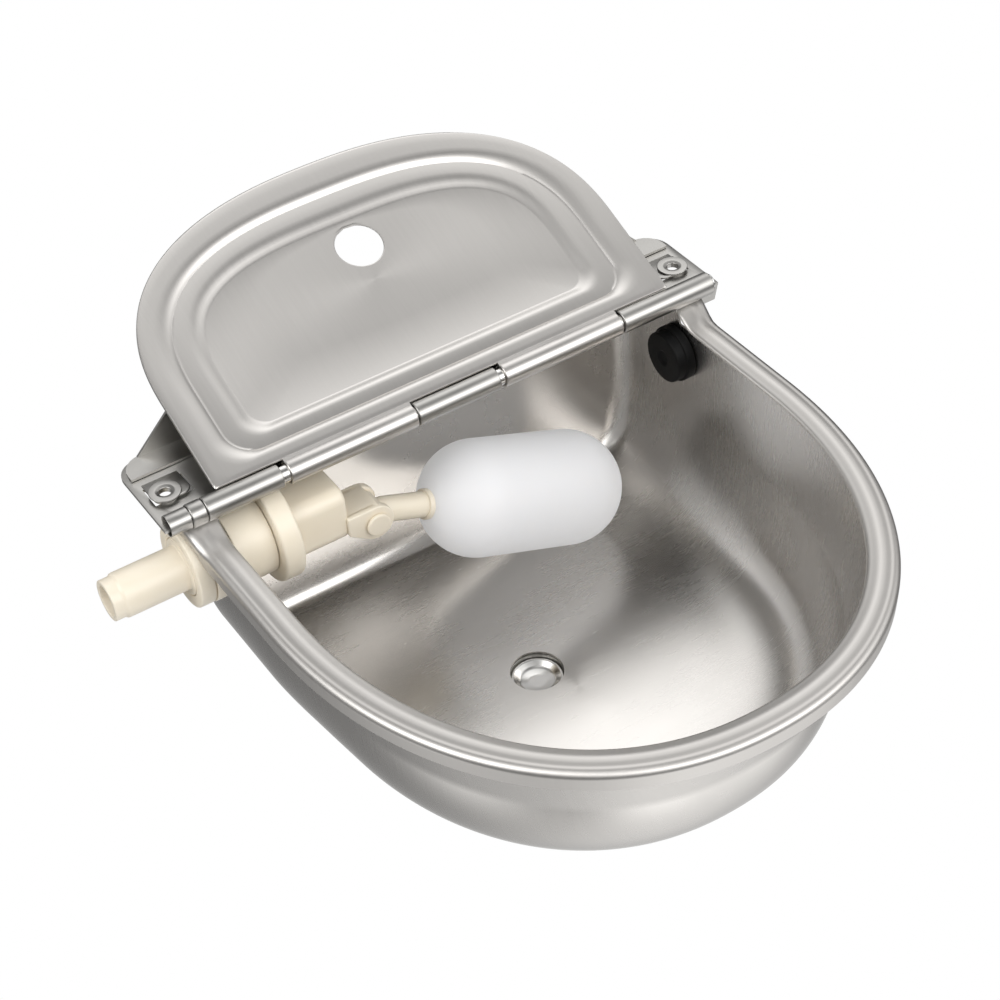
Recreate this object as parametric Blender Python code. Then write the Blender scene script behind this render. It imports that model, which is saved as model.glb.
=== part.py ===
"""Livestock drinking bowl: a stainless float-valve bowl with a hinged lid, as separate pieces.

Metres, +Z up. The origin is the middle of the lid hinge axis, +X runs along the hinge
towards the plugged side wall and +Y points backwards to the wall that carries the bowl.
"""
import math

import bmesh
import bpy
from mathutils import Matrix, Vector

MM = 0.001

# Sheet and fit
SHEET = 1.0 * MM
PLATE = 1.5 * MM
SEAT = 0.3 * MM
CUT = 2.0 * MM
WELD = 0.002 * MM

# Bowl
BOWL_HALF = 117.4 * MM
BOWL_REAR = 39.5 * MM
BOWL_CORNER = 12.0 * MM
BOWL_BOW_START = -65.0 * MM
BOWL_FRONT = -212.2 * MM
BOWL_BOW = 2.15
RIM_Z = -12.0 * MM
REAR_TOP = -3.0 * MM
WALL_LOW = -54.0 * MM
FLOOR_Z = -107.0 * MM
WALL_DRAFT = 0.04
DRAFT_START = -20.0 * MM
DRAFT_FULL = -90.0 * MM
FLOOR_POWER = 11.0
FLOOR_CENTRE_Y = -4.0 * MM
FLOOR_LAST_SHARE = 0.3
RIM_END = -1.0 * MM
RIM_SHEET_SHARE = 0.9
RIM_FLARE = 3.5 * MM
RIM_FLARE_START = -20.0 * MM
# outward and up from the inner edge of the rim
RIM_PROFILE = (
    (0.5 * MM, RIM_Z - 2.5 * MM),
    (0.5 * MM, RIM_Z - 1.0 * MM),
    (1.1 * MM, RIM_Z - 0.5 * MM),
    (5.4 * MM, RIM_Z + 0.7 * MM),
    (7.4 * MM, RIM_Z + 0.8 * MM),
    (9.6 * MM, RIM_Z - 0.2 * MM),
    (11.4 * MM, RIM_Z + 0.1 * MM),
    (12.6 * MM, RIM_Z - 0.9 * MM),
    (13.1 * MM, RIM_Z - 2.4 * MM),
    (12.7 * MM, RIM_Z - 3.8 * MM),
    (13.1 * MM, RIM_Z - 12.4 * MM),
)
RIM_WIDTH = RIM_PROFILE[-1][0]

# Bracket plate with its ears, and the upright plate behind it
PLATE_HALF = BOWL_HALF + 23.6 * MM
PLATE_TOP = -1.2 * MM
PLATE_REAR = 48.0 * MM
PLATE_CORNER = 10.0 * MM
PLATE_NOTCH = 6.2 * MM
NOTCH_PLAY = 0.9 * MM
EAR_HOLE = (PLATE_HALF - 10.6 * MM, 19.7 * MM)
EAR_SLOT = (-9.5 * MM, 6.5 * MM, -9.0 * MM, 8.5 * MM)
LUG_INNER = 10.8 * MM
LUG_OUTER = 6.0 * MM
LUG_BACK = 11.5 * MM
LUG_FRONT = 5.5 * MM
LUG_CORNER = 5.0 * MM
LUG_RISE = math.radians(6.0)
LUG_SHEET = 1.3 * MM
APRON_DROP = 12.5 * MM
FOOT_FRONT = 35.0 * MM
FOOT_HALF = PLATE_HALF - 2.5 * MM
UPRIGHT_HALF = PLATE_HALF - 10.0 * MM
UPRIGHT_TOP_HALF = UPRIGHT_HALF - 20.0 * MM
UPRIGHT_TOP = 19.2 * MM
UPRIGHT_SHEET = 1.2 * MM

# Ear nuts
NUT_RING_R = 7.0 * MM
NUT_BORE_R = 4.6 * MM
NUT_NECK_R = 5.6 * MM
NUT_LOW_BORE_R = 3.0 * MM
NUT_TOP = 1.4 * MM
NUT_BOTTOM = -2.0 * MM

# Hinge: the knuckles' ends along the hinge are shares of the bowl's half width
KNUCKLE_R = 5.35 * MM
ROD_R = 4.0 * MM
ROD_PLAY = 0.15 * MM
ROD_ENDS = (9.5 * MM - PLATE_HALF, PLATE_HALF - 3.5 * MM)
LID_KNUCKLE_SHARES = ((-0.710, -0.182), (0.201, 0.729))
MIDDLE_KNUCKLE_SHARE = 0.176
OUTER_KNUCKLE_SHARE = 0.740
LID_KNUCKLES = [(low * BOWL_HALF, high * BOWL_HALF) for low, high in LID_KNUCKLE_SHARES]
FIXED_KNUCKLES = (
    (11.5 * MM - PLATE_HALF, -OUTER_KNUCKLE_SHARE * BOWL_HALF),
    (-MIDDLE_KNUCKLE_SHARE * BOWL_HALF, MIDDLE_KNUCKLE_SHARE * BOWL_HALF),
    (OUTER_KNUCKLE_SHARE * BOWL_HALF, PLATE_HALF - 5.0 * MM),
)

# Lid, in its own plane: u along the hinge, v away from it, w up from the seen face
LID_HALF = BOWL_HALF - 2.4 * MM
LID_FRONT = 133.6 * MM
LID_ANGLE = math.radians(23.0)
LID_FACE = 4.6 * MM
LID_REAR = 4.4 * MM
LID_ROOT = 2.0 * MM
LID_HOLE = (2.3 * MM, 86.6 * MM)
LID_HOLE_R = 11.0 * MM
LID_HEM = 1.2 * MM
# each ring: half width, rear line, corner radius, start of the bow, front end, bow, depth
LID_RINGS = (
    (LID_HALF, LID_REAR, 1.0 * MM, 50.0 * MM, LID_FRONT, 2.4, 0.0),
    (LID_HALF - 7.0 * MM, 9.6 * MM, 14.0 * MM, 48.0 * MM, LID_FRONT - 12.4 * MM, 2.6, 0.0),
    (LID_HALF - 12.0 * MM, 11.7 * MM, 14.0 * MM, 48.0 * MM, LID_FRONT - 15.4 * MM, 2.7, 0.8 * MM),
    (LID_HALF - 15.6 * MM, 13.9 * MM, 13.0 * MM, 48.0 * MM, LID_FRONT - 17.9 * MM, 2.7, 2.2 * MM),
    (LID_HALF - 19.5 * MM, 16.5 * MM, 12.0 * MM, 48.0 * MM, LID_FRONT - 21.2 * MM, 2.8, 1.9 * MM),
    (LID_HALF - 24.3 * MM, 19.8 * MM, 10.0 * MM, 48.0 * MM, LID_FRONT - 25.9 * MM, 3.0, 2.0 * MM),
    (LID_HALF - 27.5 * MM, 22.2 * MM, 9.5 * MM, 48.0 * MM, LID_FRONT - 29.5 * MM, 3.0, 2.9 * MM),
    (LID_HALF - 30.7 * MM, 24.5 * MM, 9.0 * MM, 48.0 * MM, LID_FRONT - 33.1 * MM, 3.1, 3.8 * MM),
)

# Float valve: its stations along the hinge are counted from the left wall
VALVE_Y = 7.0 * MM
VALVE_Z = -30.4 * MM
SPIGOT_TIP = -BOWL_HALF - 51.9 * MM
SPIGOT_STEP = SPIGOT_TIP + 4.8 * MM
SPIGOT_R = 10.15 * MM
SPIGOT_TIP_R = 9.3 * MM
INLET_BORE_R = 7.0 * MM
LOCK_NUT_X = (-BOWL_HALF - 17.4 * MM, -BOWL_HALF - 10.2 * MM)
LOCK_NUT_R = 19.0 * MM
OUTER_WASHER_R = LOCK_NUT_R + 0.3 * MM
SHANK_R = 13.0 * MM
SHANK_END = LOCK_NUT_X[0]
BODY_R = SHANK_R + 5.2 * MM
BODY_END = -BOWL_HALF + 19.8 * MM
BODY_NECK_R = 13.4 * MM
GASKET = 1.6 * MM
RING_R = 24.0 * MM
RING_END = BODY_END + 10.1 * MM

# Valve head: a rounded block with the plunger's chamber, set low and forward of the inlet
HEAD_FRONT = VALVE_Y - 16.0 * MM
HEAD_BACK = VALVE_Y + 16.0 * MM
HEAD_LOW = VALVE_Z - 12.6 * MM
HEAD_HIGH = VALVE_Z + 14.9 * MM
HEAD_CORNER = 6.5 * MM
HEAD_END = RING_END + 25.4 * MM
HEAD_WALL = 3.0 * MM
PLUNGER_Y = VALVE_Y - 3.8 * MM
PLUNGER_Z = VALVE_Z - 4.0 * MM
HEAD_BORE_R = 7.0 * MM
PLUNGER_R = HEAD_BORE_R - SEAT
SEAL_R = PLUNGER_R - 0.4 * MM
SEAL_X = (RING_END + 2.4 * MM, RING_END + 4.8 * MM)
SEAT_BORE_R = 1.4 * MM
PLUNGER_ROD_R = 1.7 * MM
HEAD_MOUTH_R = PLUNGER_ROD_R + 0.4 * MM
PLUNGER_SHOULDER = HEAD_END - 7.1 * MM

# Lever with its fork, pin and float
ARM_Y = -0.8 * MM
PIVOT = (HEAD_END + 12.1 * MM, VALVE_Z - 8.4 * MM)
ARM_ANGLE = math.radians(21.2)
ARM_R = 5.9 * MM
ARM_NECK_R = 4.8 * MM
BOSS_R = 7.2 * MM
BOSS_HALF = 5.9 * MM
CHEEK_GAP = BOSS_HALF + SEAT
CHEEK = 3.6 * MM
CHEEK_R = 8.6 * MM
FORK_TOP = PIVOT[1] + CHEEK_R
WEB = 1.5 * MM
WEB_END = HEAD_END + 7.0 * MM
PIN_R = 2.5 * MM
PIN_HEAD_R = 5.6 * MM
PIN_HEAD = 2.0 * MM
TOE_X = (PIVOT[0] - 8.6 * MM, PIVOT[0] - 4.0 * MM)
TOE_TOP = FORK_TOP - WEB - 2 * SEAT
TOE_HALF = 2.0 * MM
FLOAT_MID_SHARE = 0.717
FLOAT_STRAIGHT_SHARE = 0.430
FLOAT_MID = FLOAT_MID_SHARE * BOWL_HALF
FLOAT_STRAIGHT = FLOAT_STRAIGHT_SHARE * BOWL_HALF
FLOAT_R = 27.0 * MM
FLOAT_SKIN = 1.6 * MM
FLOAT_SOCKET = 11.0 * MM

# Blind plug in the right wall
PLUG_Y = -3.0 * MM
PLUG_Z = -28.0 * MM
PLUG_FACE_X = BOWL_HALF - 9.4 * MM
PLUG_R = 12.3 * MM
PLUG_FLANGE_R = 13.4 * MM
PLUG_FLANGE_X = BOWL_HALF - 4.8 * MM
PLUG_HOLE_R = 9.4 * MM
PLUG_OUT = BOWL_HALF + 5.6 * MM
PLUG_DIMPLE_R = 3.0 * MM

# Drain
DRAIN = (-9.5 * MM, -68.0 * MM)
DRAIN_R = 12.0 * MM
SOCKET_R = DRAIN_R + 5.5 * MM
SOCKET_H = 9.0 * MM
DRAIN_GASKET = 1.6 * MM
DRAIN_HEAD_R = SOCKET_R - 0.5 * MM
DRAIN_HEAD_H = 5.0 * MM
DRAIN_TOP_GAP = 2.6 * MM
DRAIN_DISH = 3.0 * MM

RINGS = 36
SIDE_STEPS = 4
ROUND = 32
CORNER_STEPS = 5


def clear_scene():
    for thing in list(bpy.data.objects):
        bpy.data.objects.remove(thing, do_unlink=True)


def material(name, colour, metallic, roughness):
    made = bpy.data.materials.new(name)
    made.use_nodes = True
    shader = made.node_tree.nodes["Principled BSDF"]
    shader.inputs["Base Color"].default_value = (*colour, 1.0)
    shader.inputs["Metallic"].default_value = metallic
    shader.inputs["Roughness"].default_value = roughness
    return made


def to_object(name, builder, stuff=None):
    """Turns a bmesh into a named object with faces pointing out."""
    bmesh.ops.remove_doubles(builder, verts=builder.verts, dist=0.00001)
    bmesh.ops.recalc_face_normals(builder, faces=builder.faces)
    mesh = bpy.data.meshes.new(name)
    builder.to_mesh(mesh)
    builder.free()
    made = bpy.data.objects.new(name, mesh)
    bpy.context.scene.collection.objects.link(made)
    if stuff is not None:
        mesh.materials.append(stuff)
    return made


def combine(target, others, operation):
    """Applies exact booleans to target and removes the other objects."""
    for other in others:
        step = target.modifiers.new("cut", "BOOLEAN")
        step.operation = operation
        step.solver = "EXACT"
        step.object = other
        graph = bpy.context.evaluated_depsgraph_get()
        mesh = bpy.data.meshes.new_from_object(target.evaluated_get(graph))
        target.modifiers.clear()
        old = target.data
        target.data = mesh
        bpy.data.meshes.remove(old)
        bpy.data.objects.remove(other, do_unlink=True)
    builder = bmesh.new()
    builder.from_mesh(target.data)
    bmesh.ops.remove_doubles(builder, verts=builder.verts, dist=WELD)
    bmesh.ops.dissolve_degenerate(builder, edges=builder.edges, dist=WELD)
    builder.to_mesh(target.data)
    builder.free()
    return target


def add(target, *others):
    return combine(target, others, "UNION")


def cut(target, *others):
    return combine(target, others, "DIFFERENCE")


def loft(name, loops, stuff=None):
    """Closed solid through equal-length loops, capped at both ends."""
    builder = bmesh.new()
    rows = [[builder.verts.new(point) for point in loop] for loop in loops]
    count = len(rows[0])
    for low, high in zip(rows, rows[1:]):
        for at in range(count):
            after = (at + 1) % count
            builder.faces.new((low[at], low[after], high[after], high[at]))
    builder.faces.new(rows[0])
    builder.faces.new(rows[-1])
    return to_object(name, builder, stuff)


def prism(name, outline, low, high, stuff=None):
    """Solid with a flat outline in X and Y, between two heights."""
    loops = [[Vector((x, y, z)) for x, y in outline] for z in (low, high)]
    return loft(name, loops, stuff)


def box(name, low, high, stuff=None):
    outline = ((low[0], low[1]), (high[0], low[1]), (high[0], high[1]), (low[0], high[1]))
    return prism(name, outline, low[2], high[2], stuff)


def turned(name, profile, place, stuff=None, sides=ROUND, phase=0.0):
    """Lathe: profile is (radius, height) pairs, closed on its axis or into a ring."""
    builder = bmesh.new()
    closed = all(radius > 0.0 for radius, _ in profile)
    columns = []
    for step in range(sides):
        turn = math.tau * step / sides + phase
        columns.append([Vector((r * math.cos(turn), r * math.sin(turn), h)) for r, h in profile])
    verts = [[builder.verts.new(place @ point) for point in column] for column in columns]
    last = len(profile) if closed else len(profile) - 1
    for step in range(sides):
        here = verts[step]
        there = verts[(step + 1) % sides]
        for row in range(last):
            after = (row + 1) % len(profile)
            corners = [here[row], there[row], there[after], here[after]]
            if profile[row][0] == 0.0:
                corners.pop(1)
            elif profile[after][0] == 0.0:
                corners.pop(2)
            builder.faces.new(corners)
    return to_object(name, builder, stuff)


def along_x(y, z):
    """Places a lathe so that its height runs along +X."""
    return Matrix.Translation((0.0, y, z)) @ Matrix.Rotation(math.pi / 2, 4, "Y")


def along_z(x, y):
    return Matrix.Translation((x, y, 0.0))


def towards_front(x, z):
    """Places a lathe so that its height runs along -Y."""
    return Matrix.Translation((x, 0.0, z)) @ Matrix.Rotation(math.pi / 2, 4, "X")


def rod(name, radius, low, high, place, stuff=None, sides=ROUND):
    return turned(name, ((0.0, low), (radius, low), (radius, high), (0.0, high)), place, stuff, sides)


def d_shape(half, rear, corner, bow_start, front, power, steps=RINGS):
    """D outline: straight rear line, rounded corners, straight sides and a bowed front.

    The front lies on the far side of bow_start from the rear line, either way round.
    """
    side = 1.0 if front > rear else -1.0
    right = []
    arc = max(3, steps // 12)
    for step in range(arc + 1):
        turn = math.pi / 2 * step / arc
        x = half - corner + corner * math.sin(turn)
        y = rear + side * corner * (1.0 - math.cos(turn))
        right.append((x, y))
    start = rear + side * corner
    for step in range(1, SIDE_STEPS):
        right.append((half, start + (bow_start - start) * step / SIDE_STEPS))
    bow = steps // 2
    for step in range(bow + 1):
        turn = math.pi / 2 * step / bow
        x = half * math.cos(turn) ** (2.0 / power)
        y = bow_start + (front - bow_start) * math.sin(turn) ** (2.0 / power)
        right.append((x, y))
    left = [(-x, y) for x, y in reversed(right[:-1])]
    right[-1] = (0.0, front)
    return right + left


def normals_of(path, closed=True):
    """Unit normals on the right-hand side of the walking direction."""
    found = []
    count = len(path)
    for at in range(count):
        before = path[(at - 1) % count] if closed or at > 0 else path[at]
        after = path[(at + 1) % count] if closed or at < count - 1 else path[at]
        run = Vector((after[0] - before[0], after[1] - before[1]))
        run.normalize()
        found.append(Vector((run.y, -run.x)))
    return found


def share_between(low, high, value):
    part = min(1.0, max(0.0, (value - low) / (high - low)))
    return part * part * (3.0 - 2.0 * part)


def bowl_outline():
    return d_shape(BOWL_HALF, BOWL_REAR, BOWL_CORNER, BOWL_BOW_START, BOWL_FRONT, BOWL_BOW)


def bowl_rings(wall_steps=3, floor_steps=6):
    """Inner surface of the pan as rings from the top edge down to the floor."""
    outline = bowl_outline()
    rings = []
    for step in range(wall_steps + 1):
        part = step / wall_steps
        ring = []
        for x, y in outline:
            top = REAR_TOP if y > RIM_END else RIM_Z - SHEET
            draft = WALL_DRAFT * share_between(DRAFT_START, DRAFT_FULL, y) * part
            ring.append(Vector((x * (1.0 - draft), y * (1.0 - draft), top + (WALL_LOW - top) * part)))
        rings.append(ring)
    wall = rings[-1]
    middle = Vector((0.0, FLOOR_CENTRE_Y))
    for step in range(1, floor_steps + 1):
        turn = math.pi / 2 * step / floor_steps
        scale = max(math.cos(turn), 0.0) ** (2.0 / FLOOR_POWER)
        depth = WALL_LOW + (FLOOR_Z - WALL_LOW) * math.sin(turn)
        if step == floor_steps:
            scale = FLOOR_LAST_SHARE
        ring = []
        for point in wall:
            flat = middle + (point.xy - middle) * scale
            ring.append(Vector((flat.x, flat.y, depth)))
        rings.append(ring)
    return rings


def make_pan(stuff):
    builder = bmesh.new()
    rows = [[builder.verts.new(point) for point in ring] for ring in bowl_rings()]
    count = len(rows[0])
    for high, low in zip(rows, rows[1:]):
        for at in range(count):
            after = (at + 1) % count
            builder.faces.new((high[at], low[at], low[after], high[after]))
    builder.faces.new(list(reversed(rows[-1])))
    bmesh.ops.recalc_face_normals(builder, faces=builder.faces)
    if builder.faces[:][-1].normal.z > 0.0:
        bmesh.ops.reverse_faces(builder, faces=builder.faces[:])
    bmesh.ops.solidify(builder, geom=builder.faces[:], thickness=-SHEET)
    pan = to_object("bowl_pan", builder, stuff)
    add(pan, make_rim())
    drill = rod("drill", DRAIN_R, FLOOR_Z - SHEET - CUT, FLOOR_Z + CUT, along_z(*DRAIN))
    reach = BOWL_HALF + SHEET + CUT
    left = rod("left", SHANK_R + SEAT, -reach, -BOWL_HALF + CUT, along_x(VALVE_Y, VALVE_Z))
    right = rod("right", PLUG_HOLE_R + SEAT, BOWL_HALF - CUT, reach, along_x(PLUG_Y, PLUG_Z))
    play = KNUCKLE_R + 2 * SEAT
    relief = box("relief", (-reach, -play, -play), (reach, play, CUT))
    nut_room = OUTER_WASHER_R + 2 * SEAT
    wall = -BOWL_HALF - SHEET - SEAT
    nut = rod("nut", nut_room, LOCK_NUT_X[0] - CUT, wall, along_x(VALVE_Y, VALVE_Z))
    return cut(pan, drill, left, right, relief, nut)


def make_rim():
    """Rolled rim swept along the front and the sides of the bowl; its ends flare out."""
    path = [point for point in bowl_outline() if point[1] < RIM_END]
    path = [(BOWL_HALF, RIM_END)] + path + [(-BOWL_HALF, RIM_END)]
    sides = normals_of(path, closed=False)
    sides[0] = Vector((1.0, 0.0))
    sides[-1] = Vector((-1.0, 0.0))
    for at, side in enumerate(sides):
        if side.dot(Vector((path[at][0], path[at][1] + BOWL_HALF))) < 0.0:
            sides[at] = -side
    centre = [Vector(point) for point in RIM_PROFILE]
    across = normals_of([tuple(point) for point in centre], closed=False)
    half = SHEET * RIM_SHEET_SHARE / 2
    band = [point + side * half for point, side in zip(centre, across)]
    band += [point - side * half for point, side in reversed(list(zip(centre, across)))]
    loops = []
    for (x, y), side in zip(path, sides):
        stretch = 1.0 + RIM_FLARE / RIM_WIDTH * share_between(RIM_FLARE_START, RIM_END, y)
        loops.append([Vector((x + side.x * out * stretch, y + side.y * out * stretch, up)) for out, up in band])
    return loft("rim", loops)


def bracket_outline(left, right, front, rear, corner):
    """Rectangle in X and Y with two rounded rear corners."""
    points = [(left, front), (right, front)]
    steps = 6
    for centre, start in ((right - corner, 0.0), (left + corner, math.pi / 2)):
        for step in range(steps + 1):
            turn = start + math.pi / 2 * step / steps
            points.append((centre + corner * math.cos(turn), rear - corner + corner * math.sin(turn)))
    return points


def lug_outline(side):
    """Tongue round an ear's hole, rounded in front; its root is at the back."""
    inner = -side * LUG_INNER
    outer = side * LUG_OUTER
    front = -LUG_FRONT - LUG_BACK
    points = [(outer, 0.0), (inner, 0.0)]
    for edge, start in ((inner, 0.0), (outer, math.pi / 2)):
        centre = edge + LUG_CORNER * (1.0 if edge < 0.0 else -1.0)
        for step in range(CORNER_STEPS + 1):
            turn = start + math.pi / 2 * step / CORNER_STEPS
            across = math.cos(turn) * (1.0 if inner > 0.0 else -1.0)
            points.append((centre + LUG_CORNER * across, front + LUG_CORNER * (1.0 - math.sin(turn))))
    return points


def make_bracket(stuff):
    low = PLATE_TOP - PLATE
    outline = bracket_outline(-PLATE_HALF, PLATE_HALF, RIM_END, PLATE_REAR, PLATE_CORNER)
    plate = prism("bracket_plate", outline, low, PLATE_TOP, stuff)
    for start, end in LID_KNUCKLES:
        first = (start - NOTCH_PLAY - CUT, RIM_END - CUT, low - CUT)
        last = (end + NOTCH_PLAY + CUT, PLATE_NOTCH, PLATE_TOP + CUT)
        cut(plate, box("notch", first, last))
    for start, end in FIXED_KNUCKLES:
        add(plate, rod("knuckle", KNUCKLE_R, start, end, along_x(0.0, 0.0)))
    bore = rod("bore", ROD_R + ROD_PLAY, -PLATE_HALF - CUT, PLATE_HALF + CUT, along_x(0.0, 0.0))
    for side in (-1.0, 1.0):
        x = side * EAR_HOLE[0]
        y = EAR_HOLE[1]
        inner, outer = sorted((x + side * EAR_SLOT[0] - side * CUT, x + side * EAR_SLOT[1]))
        slot_low = (inner, y + EAR_SLOT[2], low - CUT)
        slot_high = (outer, y + EAR_SLOT[3], PLATE_TOP + CUT)
        cut(plate, box("slot", slot_low, slot_high))
        lug = prism("lug", lug_outline(side), -LUG_SHEET, 0.0)
        lug.data.transform(Matrix.Rotation(-LUG_RISE, 4, "X"))
        lug.data.transform(Matrix.Translation((x, y + LUG_BACK, PLATE_TOP - SHEET / 4)))
        add(plate, lug)
        cut(plate, rod("hole", NUT_NECK_R + SEAT, low - CUT, NUT_TOP + CUT, along_z(x, y)))
    apron_low = (BOWL_HALF + RIM_WIDTH, RIM_END, low - APRON_DROP)
    apron = box("apron", apron_low, (PLATE_HALF, RIM_END + PLATE, low + PLATE / 2))
    add(plate, apron)
    return cut(plate, bore)


def make_wall_plate(stuff):
    """Upright plate with a foot; the open lid rests on its top edge."""
    low = PLATE_TOP + SEAT
    foot_outline = bracket_outline(-FOOT_HALF, FOOT_HALF, FOOT_FRONT, PLATE_REAR, PLATE_CORNER)
    plate = prism("wall_plate", foot_outline, low, low + UPRIGHT_SHEET, stuff)
    front = PLATE_REAR - UPRIGHT_SHEET
    side = ((-UPRIGHT_HALF, low), (UPRIGHT_HALF, low), (UPRIGHT_TOP_HALF, UPRIGHT_TOP),
            (-UPRIGHT_TOP_HALF, UPRIGHT_TOP))
    loops = [[Vector((x, y, z)) for x, z in side] for y in (front, PLATE_REAR)]
    add(plate, loft("upright", loops))
    return plate


def on_lid(u, v, w):
    """Point of the lid in the frame of the bowl, with the lid open as in the photograph."""
    across = Vector((0.0, math.cos(LID_ANGLE), math.sin(LID_ANGLE)))
    up = Vector((0.0, -math.sin(LID_ANGLE), math.cos(LID_ANGLE)))
    return Vector((u, 0.0, 0.0)) + across * v + up * w


def resample(outline, centre, turns):
    """Radius of an outline at given turns about a centre."""
    polar = []
    for x, y in outline:
        gap = Vector((x - centre[0], y - centre[1]))
        polar.append((math.atan2(gap.y, gap.x) % math.tau, gap.length))
    polar.sort()
    polar = [(polar[-1][0] - math.tau, polar[-1][1])] + polar + [(polar[0][0] + math.tau, polar[0][1])]
    points = []
    for turn in turns:
        for (low, near), (high, far) in zip(polar, polar[1:]):
            if low <= turn <= high:
                part = (turn - low) / max(high - low, 0.000001)
                flat_low = Vector((math.cos(low), math.sin(low))) * near
                flat_high = Vector((math.cos(high), math.sin(high))) * far
                flat = flat_low.lerp(flat_high, part)
                points.append((centre[0] + flat.x, centre[1] + flat.y))
                break
    return points


def make_lid(stuff):
    centre = (0.0, LID_RINGS[-1][3])
    outlines = [d_shape(*ring[:6]) for ring in LID_RINGS]
    turns = sorted(math.atan2(y - centre[1], x - centre[0]) % math.tau for x, y in outlines[0])
    rings = [resample(outline, centre, turns) for outline in outlines]
    depths = [ring[6] for ring in LID_RINGS]
    half, rear, _, _, front = LID_RINGS[0][:5]
    hem_inner = [(u * (1.0 - SHEET / half), rear + SHEET + (v - rear) * (1.0 - 2 * SHEET / (front - rear)))
                 for u, v in rings[0]]
    under = [hem_inner] + rings[1:]
    top = [[on_lid(u, v, LID_FACE - depth) for u, v in ring] for ring, depth in zip(rings, depths)]
    low = [[on_lid(u, v, LID_FACE - depth - SHEET) for u, v in ring] for ring, depth in zip(under, depths)]
    hem = []
    for ring in (rings[0], hem_inner):
        drops = [LID_HEM * share_between(LID_REAR + SHEET, LID_REAR + KNUCKLE_R, v) for _, v in ring]
        hem.append([on_lid(u, v, LID_FACE - SHEET - SEAT - drop) for (u, v), drop in zip(ring, drops)])
    lid = loft("lid", list(reversed(top)) + hem + low, stuff)
    for start, end in LID_KNUCKLES:
        outline = ((start, LID_ROOT), (end, LID_ROOT), (end, LID_REAR + CUT), (start, LID_REAR + CUT))
        heights = (LID_FACE - SHEET - SEAT / 2, LID_FACE - SEAT / 2)
        loops = [[on_lid(u, v, w) for u, v in outline] for w in heights]
        add(lid, loft("root", loops))
        add(lid, rod("knuckle", KNUCKLE_R, start, end, along_x(0.0, 0.0)))
    bore = rod("bore", ROD_R + ROD_PLAY, -PLATE_HALF, PLATE_HALF, along_x(0.0, 0.0))
    hole_loops = []
    for w in (-KNUCKLE_R, LID_FACE + CUT):
        loop = []
        for step in range(ROUND):
            turn = math.tau * step / ROUND
            u = LID_HOLE[0] + LID_HOLE_R * math.cos(turn)
            v = LID_HOLE[1] + LID_HOLE_R * math.sin(turn)
            loop.append(on_lid(u, v, w))
        hole_loops.append(loop)
    return cut(lid, bore, loft("hand", hole_loops))


def make_rod(stuff):
    return rod("hinge_rod", ROD_R, ROD_ENDS[0], ROD_ENDS[1], along_x(0.0, 0.0), stuff)


def make_ear_nut(name, side, stuff):
    lug_top = PLATE_TOP + LUG_BACK * math.tan(LUG_RISE)
    profile = (
        (NUT_BORE_R, lug_top + SEAT),
        (NUT_LOW_BORE_R, NUT_BOTTOM + SHEET),
        (NUT_LOW_BORE_R, NUT_BOTTOM),
        (NUT_NECK_R, NUT_BOTTOM),
        (NUT_NECK_R, lug_top + SEAT + SHEET),
        (NUT_RING_R, lug_top + SEAT + SHEET),
        (NUT_RING_R, NUT_TOP),
        (NUT_BORE_R, NUT_TOP),
    )
    return turned(name, profile, along_z(side * EAR_HOLE[0], EAR_HOLE[1]), stuff)


def make_valve_body(stuff):
    shoulder = -BOWL_HALF + GASKET + 2 * SEAT
    bottom = RING_END - HEAD_WALL
    profile = (
        (0.0, bottom),
        (INLET_BORE_R, bottom),
        (INLET_BORE_R, SPIGOT_TIP),
        (SPIGOT_TIP_R, SPIGOT_TIP),
        (SPIGOT_TIP_R, SPIGOT_STEP),
        (SPIGOT_R, SPIGOT_STEP + SHEET),
        (SPIGOT_R, SHANK_END),
        (SHANK_R, SHANK_END),
        (SHANK_R, shoulder),
        (BODY_R, shoulder),
        (BODY_R, BODY_END),
        (BODY_NECK_R, BODY_END),
        (BODY_NECK_R, RING_END),
        (0.0, RING_END),
    )
    body = turned("valve_body", profile, along_x(VALVE_Y, VALVE_Z), stuff)
    nozzle = rod("nozzle", SEAT_BORE_R, bottom - CUT, RING_END + CUT, along_x(PLUNGER_Y, PLUNGER_Z))
    return cut(body, nozzle)


def ring_on_valve(name, low, high, inner, outer, stuff, bevel=0.0):
    profile = (
        (inner, low),
        (outer - bevel, low),
        (outer, low + bevel),
        (outer, high - bevel),
        (outer - bevel, high),
        (inner, high),
    )
    if bevel == 0.0:
        profile = ((inner, low), (outer, low), (outer, high), (inner, high))
    return turned(name, profile, along_x(VALVE_Y, VALVE_Z), stuff)


def head_section(inset):
    """Outline of the valve head in Y and Z, drawn in by an inset."""
    front = HEAD_FRONT + inset
    back = HEAD_BACK - inset
    low = HEAD_LOW + inset
    high = HEAD_HIGH - inset
    corner = HEAD_CORNER - inset
    points = []
    corners = ((back - corner, high - corner), (front + corner, high - corner),
               (front + corner, low + corner), (back - corner, low + corner))
    for quarter, (y, z) in enumerate(corners):
        for step in range(CORNER_STEPS + 1):
            turn = math.pi / 2 * (quarter + step / CORNER_STEPS)
            points.append((y + corner * math.cos(turn), z + corner * math.sin(turn)))
    return points


def cheek_outline():
    """Side view of a fork cheek: from the head it runs round the pivot."""
    x, z = PIVOT
    start = HEAD_END - HEAD_WALL / 2
    points = [(start, FORK_TOP), (start, HEAD_LOW + HEAD_CORNER / 2)]
    steps = 2 * CORNER_STEPS
    for step in range(steps + 1):
        turn = math.pi * (step / steps * 7 / 6 - 2 / 3)
        points.append((x + CHEEK_R * math.cos(turn), z + CHEEK_R * math.sin(turn)))
    return points


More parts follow.
